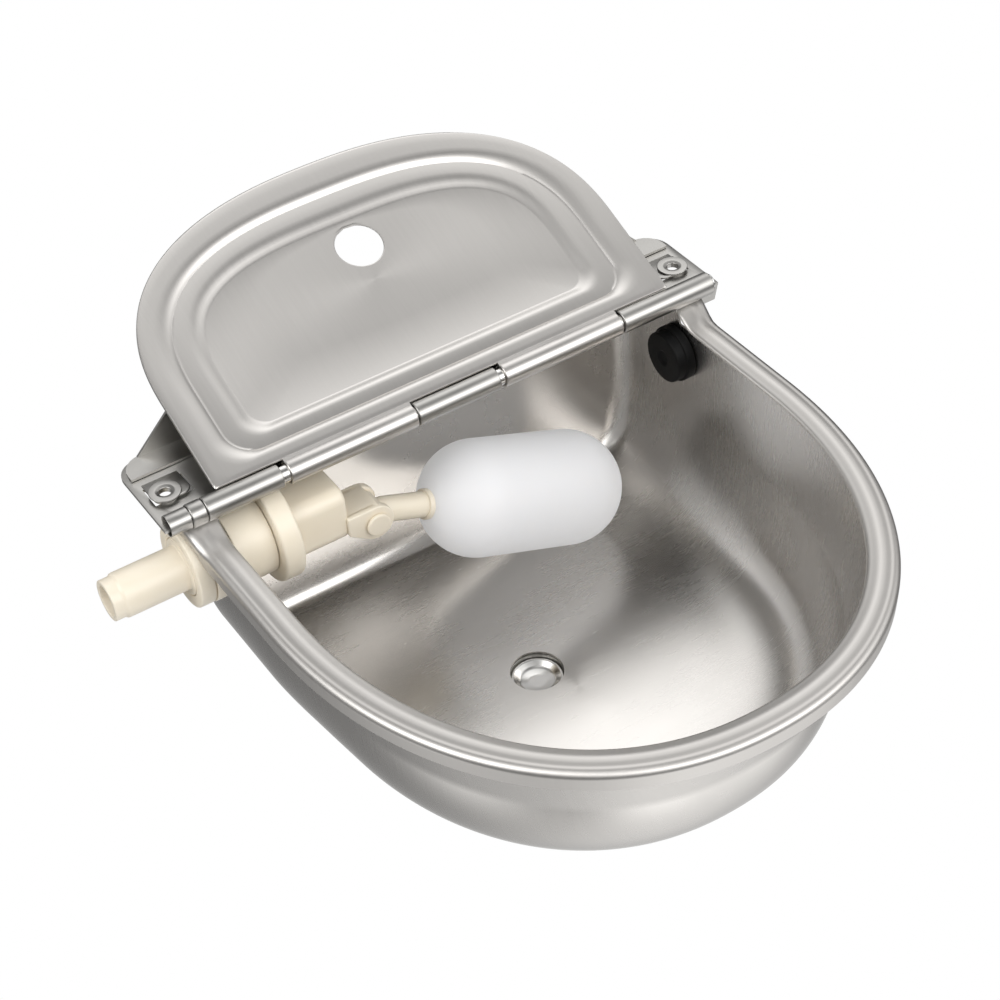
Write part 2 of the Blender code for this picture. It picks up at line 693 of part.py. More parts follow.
def make_head(stuff):
    """Valve head with the plunger's chamber and the fork that holds the lever."""
    start = RING_END + SEAT
    sections = ((start, 0.0), (HEAD_END - SHEET, 0.0), (HEAD_END, SHEET))
    loops = [[Vector((x, y, z)) for y, z in head_section(inset)] for x, inset in sections]
    head = loft("valve_head", loops, stuff)
    plunger_axis = along_x(PLUNGER_Y, PLUNGER_Z)
    cut(head, rod("chamber", HEAD_BORE_R, start - CUT, HEAD_END - HEAD_WALL, plunger_axis))
    near = ARM_Y - CHEEK_GAP - CHEEK
    far = ARM_Y + CHEEK_GAP
    for low in (near, far):
        loops = [[Vector((x, y, z)) for x, z in cheek_outline()] for y in (low, low + CHEEK)]
        add(head, loft("cheek", loops))
    web_low = (HEAD_END - HEAD_WALL / 2, near + CHEEK / 2, FORK_TOP - WEB)
    add(head, box("web", web_low, (WEB_END, far + CHEEK / 2, FORK_TOP - SEAT / 3)))
    mouth = rod("mouth", HEAD_MOUTH_R, HEAD_END - HEAD_WALL - CUT, HEAD_END + CUT, plunger_axis)
    reach = CHEEK_GAP + CHEEK + CUT
    drill = rod("drill", PIN_R + ROD_PLAY, -ARM_Y - reach, -ARM_Y + reach, towards_front(*PIVOT))
    return cut(head, mouth, drill)


def make_plunger(stuff):
    low = SEAL_X[1] + SEAT
    high = TOE_X[0] - 2 * SEAT
    profile = ((0.0, low), (PLUNGER_R, low), (PLUNGER_R, PLUNGER_SHOULDER), (PLUNGER_ROD_R, PLUNGER_SHOULDER),
               (PLUNGER_ROD_R, high), (0.0, high))
    return turned("plunger", profile, along_x(PLUNGER_Y, PLUNGER_Z), stuff)


def make_seal(stuff):
    return rod("plunger_seal", SEAL_R, SEAL_X[0], SEAL_X[1], along_x(PLUNGER_Y, PLUNGER_Z), stuff)


def arm_place():
    """Frame with its height along the lever arm, away from the pivot."""
    x, z = PIVOT
    turn = Matrix.Rotation(math.pi / 2 + ARM_ANGLE, 4, "Y")
    return Matrix.Translation((x, ARM_Y, z)) @ turn


def make_pin(stuff):
    x, z = PIVOT
    front = -ARM_Y + CHEEK_GAP + CHEEK + SEAT
    back = -ARM_Y - CHEEK_GAP - CHEEK - SEAT
    profile = ((0.0, back), (PIN_R, back), (PIN_R, front), (PIN_HEAD_R, front),
               (PIN_HEAD_R, front + PIN_HEAD / 2), (PIN_HEAD_R - PIN_HEAD / 2, front + PIN_HEAD),
               (0.0, front + PIN_HEAD))
    return turned("pivot_pin", profile, towards_front(x, z), stuff)


def make_lever(stuff):
    x, z = PIVOT
    boss = rod("lever_arm", BOSS_R, -ARM_Y - BOSS_HALF, -ARM_Y + BOSS_HALF, towards_front(x, z), stuff)
    near_end = FLOAT_MID - FLOAT_STRAIGHT / 2 - FLOAT_R
    shaft = turned("shaft", ((0.0, 0.0), (ARM_R - SHEET, 0.0), (ARM_R, BOSS_R + SHEET),
                             (ARM_R, near_end - SHEET), (ARM_NECK_R, near_end - SHEET),
                             (ARM_NECK_R, near_end + FLOAT_SOCKET), (0.0, near_end + FLOAT_SOCKET)),
                   arm_place())
    toe = box("toe", (TOE_X[0], ARM_Y - TOE_HALF, z), (TOE_X[1], ARM_Y + BOSS_HALF - SEAT, TOE_TOP))
    add(boss, shaft, toe)
    drill = rod("drill", PIN_R + ROD_PLAY, -ARM_Y - BOSS_R - CUT, -ARM_Y + BOSS_R + CUT,
                towards_front(x, z))
    return cut(boss, drill)


def make_float(stuff):
    """Hollow capsule, open only where the arm plugs into its neck."""
    near = FLOAT_MID - FLOAT_STRAIGHT / 2
    far = FLOAT_MID + FLOAT_STRAIGHT / 2
    steps = 6
    inner_r = FLOAT_R - FLOAT_SKIN
    neck = ARM_NECK_R + SEAT
    outer = []
    inner = []
    start = math.asin(neck / FLOAT_R)
    inner_start = math.asin(neck / inner_r)
    for step in range(steps + 1):
        turn = start + (math.pi / 2 - start) * step / steps
        outer.append((FLOAT_R * math.sin(turn), near - FLOAT_R * math.cos(turn)))
        turn = inner_start + (math.pi / 2 - inner_start) * step / steps
        inner.append((inner_r * math.sin(turn), near - inner_r * math.cos(turn)))
    for step in range(steps + 1):
        turn = math.pi / 2 * (1.0 - step / steps)
        outer.append((FLOAT_R * math.sin(turn), far + FLOAT_R * math.cos(turn)))
        inner.append((inner_r * math.sin(turn), far + inner_r * math.cos(turn)))
    outer[-1] = (0.0, outer[-1][1])
    inner[-1] = (0.0, inner[-1][1])
    builder = bmesh.new()
    place = arm_place()
    for profile in (outer, inner):
        shell = turned("shell", profile, place)
        builder.from_mesh(shell.data)
        bpy.data.objects.remove(shell, do_unlink=True)
    edges = [edge for edge in builder.edges if edge.is_boundary]
    bmesh.ops.bridge_loops(builder, edges=edges)
    return to_object("float", builder, stuff)


def make_plug(stuff):
    profile = (
        (0.0, PLUG_FACE_X + SHEET),
        (PLUG_DIMPLE_R, PLUG_FACE_X + SHEET),
        (PLUG_DIMPLE_R + SHEET, PLUG_FACE_X),
        (PLUG_R - SHEET, PLUG_FACE_X),
        (PLUG_R, PLUG_FACE_X + SHEET),
        (PLUG_R, PLUG_FLANGE_X),
        (PLUG_FLANGE_R, PLUG_FLANGE_X + SHEET / 2),
        (PLUG_FLANGE_R, BOWL_HALF - SEAT),
        (PLUG_HOLE_R, BOWL_HALF - SEAT),
        (PLUG_HOLE_R, PLUG_OUT - SHEET),
        (PLUG_HOLE_R - SHEET, PLUG_OUT),
        (0.0, PLUG_OUT),
    )
    return turned("rubber_plug", profile, along_x(PLUG_Y, PLUG_Z), stuff)


def make_drain_socket(stuff):
    top = FLOOR_Z - SHEET - SEAT
    low = top - SOCKET_H
    profile = ((DRAIN_R, low), (SOCKET_R, low), (SOCKET_R, top), (DRAIN_R, top))
    return turned("drain_socket", profile, along_z(*DRAIN), stuff)


def make_drain_gasket(stuff):
    top = FLOOR_Z - SHEET - SEAT - SOCKET_H - SEAT
    low = top - DRAIN_GASKET
    profile = ((DRAIN_R + SHEET, low), (SOCKET_R - SHEET, low), (SOCKET_R - SHEET, top), (DRAIN_R + SHEET, top))
    return turned("drain_gasket", profile, along_z(*DRAIN), stuff)


def make_drain_plug(stuff):
    seat = FLOOR_Z - SHEET - SEAT - SOCKET_H - DRAIN_GASKET - 2 * SEAT
    top = FLOOR_Z - SHEET - DRAIN_TOP_GAP
    stem = DRAIN_R - SEAT
    profile = (
        (0.0, seat - DRAIN_HEAD_H),
        (DRAIN_HEAD_R, seat - DRAIN_HEAD_H),
        (DRAIN_HEAD_R, seat),
        (stem, seat),
        (stem, top),
        (stem - SHEET, top),
        (stem * 2 / 3, top - DRAIN_DISH * 3 / 4),
        (stem / 3, top - DRAIN_DISH),
        (0.0, top - DRAIN_DISH),
    )
    return turned("drain_plug", profile, along_z(*DRAIN), stuff)


def set_origin(thing, place):
    """Moves the origin of an object without moving its surface."""
    shift = Vector(place)
    thing.data.transform(Matrix.Translation(-shift))
    thing.location = shift


def build():
    clear_scene()
    steel = material("brushed stainless", (0.62, 0.60, 0.57), 1.0, 0.32)
    bright = material("polished stainless", (0.75, 0.74, 0.72), 1.0, 0.12)
    ivory = material("ivory plastic", (0.82, 0.74, 0.58), 0.0, 0.38)
    milky = material("milky float plastic", (0.86, 0.87, 0.88), 0.0, 0.30)
    black = material("black rubber", (0.02, 0.02, 0.02), 0.0, 0.55)
    make_pan(steel)
    make_bracket(steel.copy())
    make_wall_plate(steel.copy())
    make_rod(bright)
    lid = make_lid(steel.copy())
    make_ear_nut("ear_nut_left", -1.0, bright.copy())
    make_ear_nut("ear_nut_right", 1.0, bright.copy())
    make_valve_body(ivory)
    nut_low, nut_high = LOCK_NUT_X
    ring_on_valve("outer_lock_nut", nut_low, nut_high, SHANK_R + SEAT, LOCK_NUT_R, ivory.copy(), bevel=SHEET)
    wall = -BOWL_HALF - SHEET - SEAT
    ring_on_valve("outer_washer", LOCK_NUT_X[1] + SEAT, wall, SHANK_R + SEAT, OUTER_WASHER_R, ivory.copy())
    inside = -BOWL_HALF + SEAT
    ring_on_valve("inner_gasket", inside, inside + GASKET, SHANK_R + SEAT, BODY_R - SHEET, black.copy())
    ring_on_valve("clamp_ring", BODY_END + SEAT, RING_END, BODY_NECK_R + SEAT, RING_R, ivory.copy(),
                  bevel=SHEET)
    make_head(ivory.copy())
    plunger = make_plunger(ivory.copy())
    seal = make_seal(black.copy())
    make_pin(ivory.copy())
    lever = make_lever(ivory.copy())
    ball = make_float(milky)
    plug = make_plug(black.copy())
    make_drain_socket(steel.copy())
    make_drain_gasket(black.copy())
    drain = make_drain_plug(bright.copy())
    pivot = (PIVOT[0], ARM_Y, PIVOT[1])
    set_origin(lid, (0.0, 0.0, 0.0))
    for thing in (lever, ball):
        set_origin(thing, pivot)
    for thing in (plunger, seal):
        set_origin(thing, (SEAL_X[1], PLUNGER_Y, PLUNGER_Z))
    set_origin(plug, (BOWL_HALF, PLUG_Y, PLUG_Z))
    set_origin(drain, (DRAIN[0], DRAIN[1], FLOOR_Z))


build()
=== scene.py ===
"""Livestock drinking bowl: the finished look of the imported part, as in its photograph."""

import math

import bmesh
import bpy
from mathutils import Matrix, Vector


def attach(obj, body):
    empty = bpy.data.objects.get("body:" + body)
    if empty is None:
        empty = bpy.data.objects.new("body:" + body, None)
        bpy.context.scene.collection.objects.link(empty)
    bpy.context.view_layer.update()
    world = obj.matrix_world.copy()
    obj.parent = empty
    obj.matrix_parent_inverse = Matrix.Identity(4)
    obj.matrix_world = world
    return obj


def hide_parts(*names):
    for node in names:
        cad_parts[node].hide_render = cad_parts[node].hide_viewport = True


MM = 0.001

# Camera, fitted to the photograph
CAMERA_TURN = math.radians(-30.09)
CAMERA_RISE = math.radians(41.13)
CAMERA_ROLL = math.radians(-4.58)
CAMERA_DISTANCE = 953.2 * MM
PICTURE_SIZE = 1000.0
HINGE_IN_PICTURE = (455.5, 396.6)
FOCAL_PIXELS = 2210.0
SENSOR_MM = 36.0
CLIP_START = 10.0 * MM

# Sheet metal
SHEET = 1.0 * MM
PLATE = 1.5 * MM
SEAT = 0.3 * MM
CUT = 2.0 * MM
FILLET = 0.6 * MM
WELD = 0.01 * MM

# Bowl: a D outline whose bow is a superellipse with the named power
BOWL_HALF = 117.4 * MM
BOWL_REAR = 39.5 * MM
BOWL_CORNER = 12.0 * MM
BOWL_BOW_START = -65.0 * MM
BOWL_FRONT = -212.2 * MM
BOWL_BOW = 2.15
RIM_Z = -12.0 * MM
REAR_TOP = -3.0 * MM
WALL_LOW = -54.0 * MM
FLOOR_Z = -107.0 * MM
WALL_DRAFT = 0.04
DRAFT_START = -20.0 * MM
DRAFT_FULL = -90.0 * MM
FLOOR_POWER = 11.0
FLOOR_CENTRE_Y = -4.0 * MM
HOLE_REACH = 5 * SHEET
RIM_END = -1.0 * MM
RIM_FLARE_START = -16.0 * MM
RIM_FLARE = 2.2 * MM
# outward and up from the inner edge of the rim
RIM_PROFILE = (
    (0.3 * MM, RIM_Z - 1.6 * MM),
    (0.9 * MM, RIM_Z - 0.6 * MM),
    (2.6 * MM, RIM_Z),
    (5.2 * MM, RIM_Z + 0.7 * MM),
    (7.4 * MM, RIM_Z + 0.6 * MM),
    (9.4 * MM, RIM_Z + 0.1 * MM),
    (11.0 * MM, RIM_Z - 0.1 * MM),
    (12.3 * MM, RIM_Z - 0.9 * MM),
    (13.0 * MM, RIM_Z - 2.2 * MM),
    (13.0 * MM, RIM_Z - 3.8 * MM),
    (12.7 * MM, RIM_Z - 8.6 * MM),
)
# the rim's two ends reach back to this line and rise under the hinge to the bracket plate
RIM_BACK = 6.0 * MM
RIM_LIFT = 8.0 * MM
RIM_LIFT_START = -13.0 * MM

# Bracket plate with its ears
PLATE_HALF = BOWL_HALF + 23.6 * MM
PLATE_TOP = -1.2 * MM
PLATE_REAR = 48.0 * MM
PLATE_CORNER = 10.0 * MM
PLATE_NOTCH = 6.2 * MM
NOTCH_PLAY = 0.9 * MM
EAR_HOLE = (PLATE_HALF - 10.6 * MM, 19.7 * MM)
# inner, outer, front and rear edge of the slot, seen from the ear's hole
EAR_SLOT = (-9.5 * MM, 6.5 * MM, -4.2 * MM, 8.5 * MM)
LUG_INNER = 10.8 * MM
LUG_OUTER = 6.0 * MM
LUG_BACK = 11.5 * MM
LUG_FRONT = 5.5 * MM
LUG_CORNER = 5.0 * MM
LUG_RISE = math.radians(6.0)
APRON_DROP = 9.5 * MM
APRON_LEAN = 2.5 * MM
NUT_RING_R = 7.0 * MM
NUT_HOLE_R = 2.7 * MM
NUT_DISH_R = 4.2 * MM
NUT_NECK_R = 5.6 * MM
NUT_TOP = 1.4 * MM
NUT_BOTTOM = -2.0 * MM

# Hinge
KNUCKLE_R = 5.35 * MM
ROD_R = 4.0 * MM
ROD_ENDS = (9.5 * MM - PLATE_HALF, PLATE_HALF - 3.5 * MM)
LID_KNUCKLE_SHARES = ((-0.710, -0.182), (0.201, 0.729))
MIDDLE_KNUCKLE_SHARE = 0.176
OUTER_KNUCKLE_SHARE = 0.740
LID_KNUCKLES = [(low * BOWL_HALF, high * BOWL_HALF) for low, high in LID_KNUCKLE_SHARES]
LEFT_RING = (11.5 * MM - PLATE_HALF, 18.3 * MM - PLATE_HALF)
ROLLED_END = (1.5 * MM - PLATE_HALF, LEFT_RING[0] - SEAT)
ROLLED_END_R = 4.8 * MM
FIXED_KNUCKLES = (
    LEFT_RING,
    (LEFT_RING[1] + SEAT, -OUTER_KNUCKLE_SHARE * BOWL_HALF),
    (-MIDDLE_KNUCKLE_SHARE * BOWL_HALF, MIDDLE_KNUCKLE_SHARE * BOWL_HALF),
    (OUTER_KNUCKLE_SHARE * BOWL_HALF, PLATE_HALF - 5.0 * MM),
)

# Lid, in its own plane: u along the hinge, v away from it, w up from the seen face
LID_HALF = BOWL_HALF - 2.4 * MM
LID_FRONT = 133.6 * MM
LID_ANGLE = math.radians(23.0)
LID_FACE = 4.6 * MM
LID_REAR = 4.4 * MM
LID_ROOT = 2.0 * MM
LID_HOLE = (2.3 * MM, 86.6 * MM)
LID_HOLE_R = 11.0 * MM
LID_HEM = 1.2 * MM
# each ring: half width, rear line, corner radius, start of the bow, front end, bow
LID_RINGS = (
    (LID_HALF, LID_REAR, 1.0 * MM, 50.0 * MM, LID_FRONT, 2.4),
    (LID_HALF - 7.0 * MM, 9.6 * MM, 14.0 * MM, 48.0 * MM, LID_FRONT - 12.4 * MM, 2.6),
    (LID_HALF - 15.6 * MM, 13.9 * MM, 13.0 * MM, 48.0 * MM, LID_FRONT - 17.9 * MM, 2.7),
    (LID_HALF - 24.3 * MM, 19.8 * MM, 10.0 * MM, 48.0 * MM, LID_FRONT - 25.9 * MM, 2.95),
    (LID_HALF - 30.7 * MM, 24.5 * MM, 9.0 * MM, 48.0 * MM, LID_FRONT - 33.1 * MM, 3.1),
)
# place between the rings and depth under the lid's face, over flange, step, band and panel
LID_STEPS = (
    (0.0, 0.5 * MM),
    (0.04, 0.12 * MM),
    (0.12, 0.0),
    (0.5, 0.0),
    (0.9, 0.0),
    (1.15, 0.06 * MM),
    (1.4, 0.3 * MM),
    (1.6, 0.7 * MM),
    (1.75, 1.1 * MM),
    (1.86, 1.5 * MM),
    (1.94, 1.88 * MM),
    (2.0, 2.15 * MM),
    (2.1, 2.1 * MM),
    (2.4, 1.98 * MM),
    (2.8, 1.9 * MM),
    (3.0, 1.95 * MM),
    (3.2, 2.15 * MM),
    (3.4, 2.5 * MM),
    (3.6, 3.0 * MM),
    (3.8, 3.5 * MM),
    (3.92, 3.72 * MM),
    (4.0, 3.8 * MM),
)
# round the finger hole: share of the way from the panel, added radius, and depth under the panel
LID_LIPS = (
    (0.4, 0.0, 0.0),
    (0.8, 0.0, 0.0),
    (1.0, 2 * FILLET, 0.0),
    (1.0, FILLET, 0.0),
    (1.0, FILLET / 2, 0.0),
    (1.0, FILLET / 6, FILLET / 6),
    (1.0, 0.0, FILLET / 2),
)

# Float valve
VALVE_Y = 7.0 * MM
VALVE_Z = -30.4 * MM
SPIGOT_TIP = -BOWL_HALF - 51.9 * MM
SPIGOT_STEP = SPIGOT_TIP + 4.8 * MM
SPIGOT_R = 10.15 * MM
SPIGOT_TIP_R = 9.3 * MM
INLET_BORE_R = 7.0 * MM
LOCK_NUT_X = (-BOWL_HALF - 17.4 * MM, -BOWL_HALF - 10.2 * MM)
LOCK_NUT_R = 19.0 * MM
OUTER_WASHER_R = LOCK_NUT_R + 0.3 * MM
SHANK_R = 13.0 * MM
BODY_R = SHANK_R + 5.2 * MM
BODY_END = -BOWL_HALF + 19.8 * MM
BODY_NECK_R = 13.4 * MM
GASKET = 1.6 * MM
RING_R = 24.0 * MM
RING_END = BODY_END + 10.1 * MM
HEAD_FRONT = VALVE_Y - 16.0 * MM
HEAD_BACK = VALVE_Y + 16.0 * MM
HEAD_LOW = VALVE_Z - 12.6 * MM
HEAD_HIGH = VALVE_Z + 14.9 * MM
HEAD_CORNER = 6.5 * MM
HEAD_END = RING_END + 25.4 * MM
HEAD_WALL = 3.0 * MM
HEAD_ROUND = 2.4 * MM

# Lever with its fork, pin and float
ARM_Y = -0.8 * MM
PIVOT = (HEAD_END + 12.1 * MM, VALVE_Z - 8.4 * MM)
ARM_ANGLE = math.radians(21.2)
ARM_R = 5.9 * MM
ARM_NECK_R = 4.8 * MM
BOSS_R = 7.2 * MM
BOSS_HALF = 5.9 * MM
CHEEK_GAP = BOSS_HALF + SEAT
CHEEK = 3.6 * MM
CHEEK_R = 8.6 * MM
CHEEK_START_ANGLE = math.radians(-120.0)
CHEEK_SWEEP = math.radians(210.0)
FORK_TOP = PIVOT[1] + CHEEK_R
WEB = 1.1 * MM
WEB_END = PIVOT[0] + 2.5 * MM
PIN_R = 2.5 * MM
PIN_HEAD_R = 5.6 * MM
PIN_HEAD = 2.0 * MM
TOE_X = (PIVOT[0] - 8.6 * MM, PIVOT[0] - 4.0 * MM)
TOE_TOP = FORK_TOP - WEB - 3 * SEAT
TOE_HALF = 2.0 * MM
FLOAT_MID_SHARE = 0.717
FLOAT_STRAIGHT_SHARE = 0.430
FLOAT_MID = FLOAT_MID_SHARE * BOWL_HALF
FLOAT_STRAIGHT = FLOAT_STRAIGHT_SHARE * BOWL_HALF
FLOAT_R = 27.0 * MM
FLOAT_SOCKET = 11.0 * MM
COLLAR_R = 7.0 * MM
COLLAR = 2.6 * MM

# Blind plug in the right wall
PLUG_Y = -3.0 * MM
PLUG_Z = -28.0 * MM
PLUG_FACE_X = BOWL_HALF - 9.4 * MM
PLUG_R = 12.3 * MM
PLUG_FLANGE_R = 13.4 * MM
PLUG_FLANGE_X = BOWL_HALF - 4.8 * MM
PLUG_HOLE_R = 9.4 * MM
PLUG_OUT = BOWL_HALF + 5.6 * MM
PLUG_DIMPLE_R = 3.0 * MM

# Drain
DRAIN = (-9.5 * MM, -68.0 * MM)
DRAIN_R = 12.0 * MM
SOCKET_R = DRAIN_R + 5.5 * MM
SOCKET_H = 9.0 * MM
DRAIN_GASKET = 1.6 * MM
DRAIN_HEAD_R = SOCKET_R - 0.5 * MM
DRAIN_HEAD_H = 5.0 * MM
DRAIN_TOP_GAP = 2.6 * MM
DRAIN_DISH = 3.0 * MM
DISH_OUTER_SHARE = 2 / 3
DISH_INNER_SHARE = 1 / 3
DISH_SLOPE_SHARE = 3 / 4

# Soft lights, fitted to the photograph's shades: direction, strength and how fast each falls off
FOCUSED = 20.0
BROAD = 4.0
ROOM_LIGHT = 0.0
SOFT_LIGHTS = {
    "behind, high": ((0.27, 0.58, 0.77), 1.45, FOCUSED),
    "above, a little to the right": ((0.40, 0.26, 0.88), 0.8, FOCUSED),
    "left side, high": ((-0.79, -0.03, 0.61), 7.0, FOCUSED),
    "front": ((-0.04, -0.82, 0.57), 3.4, FOCUSED),
    "behind on the right": ((0.57, 0.57, 0.59), 1.0, FOCUSED),
    "front right": ((0.44, -0.77, 0.46), 3.6, FOCUSED),
    "overhead": ((-0.19, -0.17, 0.97), 0.6, FOCUSED),
    "right side": ((0.85, -0.11, 0.52), 1.05, FOCUSED),
    "overhead, behind": ((0.03, 0.33, 0.94), 0.2, FOCUSED),
    "front right, high": ((0.59, -0.50, 0.63), 0.65, FOCUSED),
    "front left": ((-0.36, -0.85, 0.39), 0.7, FOCUSED),
    "right side, low": ((0.83, -0.44, 0.34), 0.6, FOCUSED),
    "pale floor": ((0.10, -0.30, -0.95), 1.0, BROAD),
    "behind, level": ((-0.45, 0.88, 0.10), 0.35, BROAD),
    "front, from the floor": ((-0.07, -0.75, -0.66), 1.2, FOCUSED),
    "front right, from the floor": ((0.59, -0.55, -0.59), 1.0, FOCUSED),
    "left, from the floor": ((-0.79, 0.01, -0.61), 1.2, FOCUSED),
    "behind right, from the floor": ((0.40, 0.60, -0.70), 1.0, FOCUSED),
}

# How finely curves are divided
CORNER_STEPS = 10
SOFTEN_STEPS = 4
BEVEL_SEGMENTS = 3
WALL_ROWS = 16
FLOOR_ROWS = 40
FLOOR_MIDDLE_ROWS = 12
CURVE_ROWS = 5
AROUND = 288
REAR_STEPS = AROUND // 8
ARC_STEPS = AROUND // 24
SIDE_STEPS = AROUND // 12
BOW_STEPS = AROUND // 4
ROUND = 96
SMOOTH_ANGLE = math.radians(35.0)

# Colours, as red, green and blue
WHITE = (1.0, 1.0, 1.0)
STEEL = (0.63, 0.61, 0.585)
# painted shade: a darker copy of the steel for the bracket plate and the parts that share its material,
# which lie in shade under the lid and the bowl
PLATE_SHADED_STEEL = (0.46, 0.45, 0.43)
BRIGHT_STEEL = (0.70, 0.69, 0.67)
IVORY = (0.86, 0.78, 0.64)
IVORY_DARK = (0.82, 0.73, 0.58)
MILK = (0.52, 0.52, 0.53)
MILK_DARK = (0.49, 0.49, 0.50)
BLACK = (0.006, 0.006, 0.006)
BLACK_DARK = (0.003, 0.003, 0.003)
RUBBER_SHINE = 0.12

# Roughness of each surface
PAN_ROUGH = 0.26
RIM_ROUGH = 0.42
LID_ROUGH = 0.32
PLATE_ROUGH = 0.33
BRIGHT_ROUGH = 0.18
IVORY_ROUGH = 0.34
MILK_ROUGH = 0.55
RUBBER_ROUGH = 0.5
# a surface is this much smoother and rougher from place to place
STEEL_SMOOTHER = 0.05
STEEL_ROUGHER = 0.07
PLASTIC_SMOOTHER = 0.04
PLASTIC_ROUGHER = 0.06

# Grain of the steel, in waves to the metre along X, Y and Z; it runs where there are fewest
PAN_GRAIN = (60.0, 600.0, 60.0)
LID_GRAIN = (900.0, 40.0, 40.0)
PLATE_GRAIN = (40.0, 700.0, 700.0)
ROD_GRAIN = (20.0, 500.0, 500.0)
GRAIN_DEPTH_SHARE = 0.12
PAN_GRAIN_DEPTH_SHARE = 0.012
GRAIN_DEPTH = 0.1 * MM
GRAIN_DETAIL = 6.0
GRAIN_ROUGHNESS = 0.65
GRAIN_DARK_SHARE = 0.92
GRAIN_SHARE = 0.5
STEEL_ANISOTROPY = 0.5
CLOUD_WAVES = 22.0
CLOUD_DETAIL = 3.0

# Specks and depth of the plastics
SPECK_WAVES = 90.0
MILK_WAVES = 30.0
SPECK_DETAIL = 4.0
IVORY_SCATTER = 0.15
MILK_SCATTER = 0.8
SCATTER_DEPTH = 20.0 * MM
SCATTER_COLOUR = (1.0, 0.9, 0.8)
# painted glow: an even white light that the milky float gives off, standing in for the light it lets
# through from its far side
FLOAT_PAINTED_GLOW = 0.3


def shade_smooth(mesh):
    for face in mesh.polygons:
        face.use_smooth = True
    mesh.set_sharp_from_angle(angle=SMOOTH_ANGLE)


def make_object(name, builder, stuff):
    """Object from the faces in a bmesh, with doubled points joined."""
    bmesh.ops.remove_doubles(builder, verts=builder.verts, dist=WELD)
    bmesh.ops.recalc_face_normals(builder, faces=builder.faces)
    mesh = bpy.data.meshes.new(name)
    builder.to_mesh(mesh)
    builder.free()
    made = bpy.data.objects.new(name, mesh)
    bpy.context.scene.collection.objects.link(made)
    mesh.materials.append(stuff)
    shade_smooth(mesh)
    return made


def skin(name, rows, stuff, closed=True, caps=False):
    """Surface through rows of points of equal length."""
    builder = bmesh.new()
    made = [[builder.verts.new(point) for point in row] for row in rows]
    count = len(made[0])
    last = count if closed else count - 1
    for low, high in zip(made, made[1:]):
        for at in range(last):
            after = (at + 1) % count
            builder.faces.new((low[at], low[after], high[after], high[at]))
    if caps:
        builder.faces.new(made[0])
        builder.faces.new(made[-1])
    return make_object(name, builder, stuff)


def thicken(thing, thickness, offset):
    """Gives a surface the thickness of its sheet, on the side that the offset says."""
    step = thing.modifiers.new("sheet", "SOLIDIFY")
    step.thickness = thickness
    step.offset = offset
    bake(thing)
    builder = bmesh.new()
    builder.from_mesh(thing.data)
    bmesh.ops.recalc_face_normals(builder, faces=builder.faces)
    builder.to_mesh(thing.data)
    builder.free()
    return thing


def bake(thing):
    """Applies the modifiers of an object."""
    graph = bpy.context.evaluated_depsgraph_get()
    mesh = bpy.data.meshes.new_from_object(thing.evaluated_get(graph))
    thing.modifiers.clear()
    old = thing.data
    thing.data = mesh
    bpy.data.meshes.remove(old)
    shade_smooth(mesh)


def carve(thing, *cutters, folded=False):
    """Cuts with exact booleans; a folded sheet may touch itself."""
    for cutter in cutters:
        step = thing.modifiers.new("cut", "BOOLEAN")
        step.operation = "DIFFERENCE"
        step.solver = "EXACT"
        step.use_self = folded
        step.object = cutter
        bake(thing)
        bpy.data.objects.remove(cutter, do_unlink=True)
    return thing


def soften(points, radius=FILLET):
    """Rounds the corners of a lathe profile."""
    flat = [Vector(point) for point in points]
    found = [flat[0]]
    for before, here, after in zip(flat, flat[1:], flat[2:]):
        reach = min(radius, (here - before).length / 2, (after - here).length / 2)
        start = here + (before - here).normalized() * reach
        end = here + (after - here).normalized() * reach
        for step in range(SOFTEN_STEPS + 1):
            part = step / SOFTEN_STEPS
            found.append(start.lerp(here, part).lerp(here.lerp(end, part), part))
    return found + [flat[-1]]


def ring_profile(inner, outer, low, high, radius=FILLET):
    """Rounded section of a ring, starting and ending in the middle of its bore."""
    middle = (low + high) / 2
    return soften(((inner, middle), (inner, low), (outer, low), (outer, high), (inner, high),
                   (inner, middle)), radius)


def turned(name, profile, place, stuff):
    """Lathe form from radii and heights, put in its place by a matrix."""
    rows = []
    for radius, height in profile:
        ring = []
        for step in range(ROUND):
            turn = math.tau * step / ROUND
            ring.append(place @ Vector((radius * math.cos(turn), radius * math.sin(turn), height)))
        rows.append(ring)
    return skin(name, rows, stuff)


def along_x(y, z):
    return Matrix.Translation((0.0, y, z)) @ Matrix.Rotation(math.pi / 2, 4, "Y")


def along_z(x, y):
    return Matrix.Translation((x, y, 0.0))


def towards_front(x, z):
    return Matrix.Translation((x, 0.0, z)) @ Matrix.Rotation(math.pi / 2, 4, "X")


def rod(name, radius, low, high, place, stuff):
    return turned(name, ((0.0, low), (radius, low), (radius, high), (0.0, high)), place, stuff)


def prism(name, outline, low, high, stuff, bevel=0.0):
    """Solid with a flat outline in X and Y, between two heights, with rounded edges."""
    thing = skin(name, [[Vector((x, y, z)) for x, y in outline] for z in (low, high)], stuff, caps=True)
    return round_edges(thing, bevel) if bevel > 0.0 else thing


def box(name, low, high, stuff, bevel=0.0):
    outline = ((low[0], low[1]), (high[0], low[1]), (high[0], high[1]), (low[0], high[1]))
    return prism(name, outline, low[2], high[2], stuff, bevel)


def round_edges(thing, width):
    step = thing.modifiers.new("edges", "BEVEL")
    step.width = width
    step.segments = BEVEL_SEGMENTS
    step.limit_method = "ANGLE"
    step.angle_limit = SMOOTH_ANGLE
    bake(thing)
    return thing


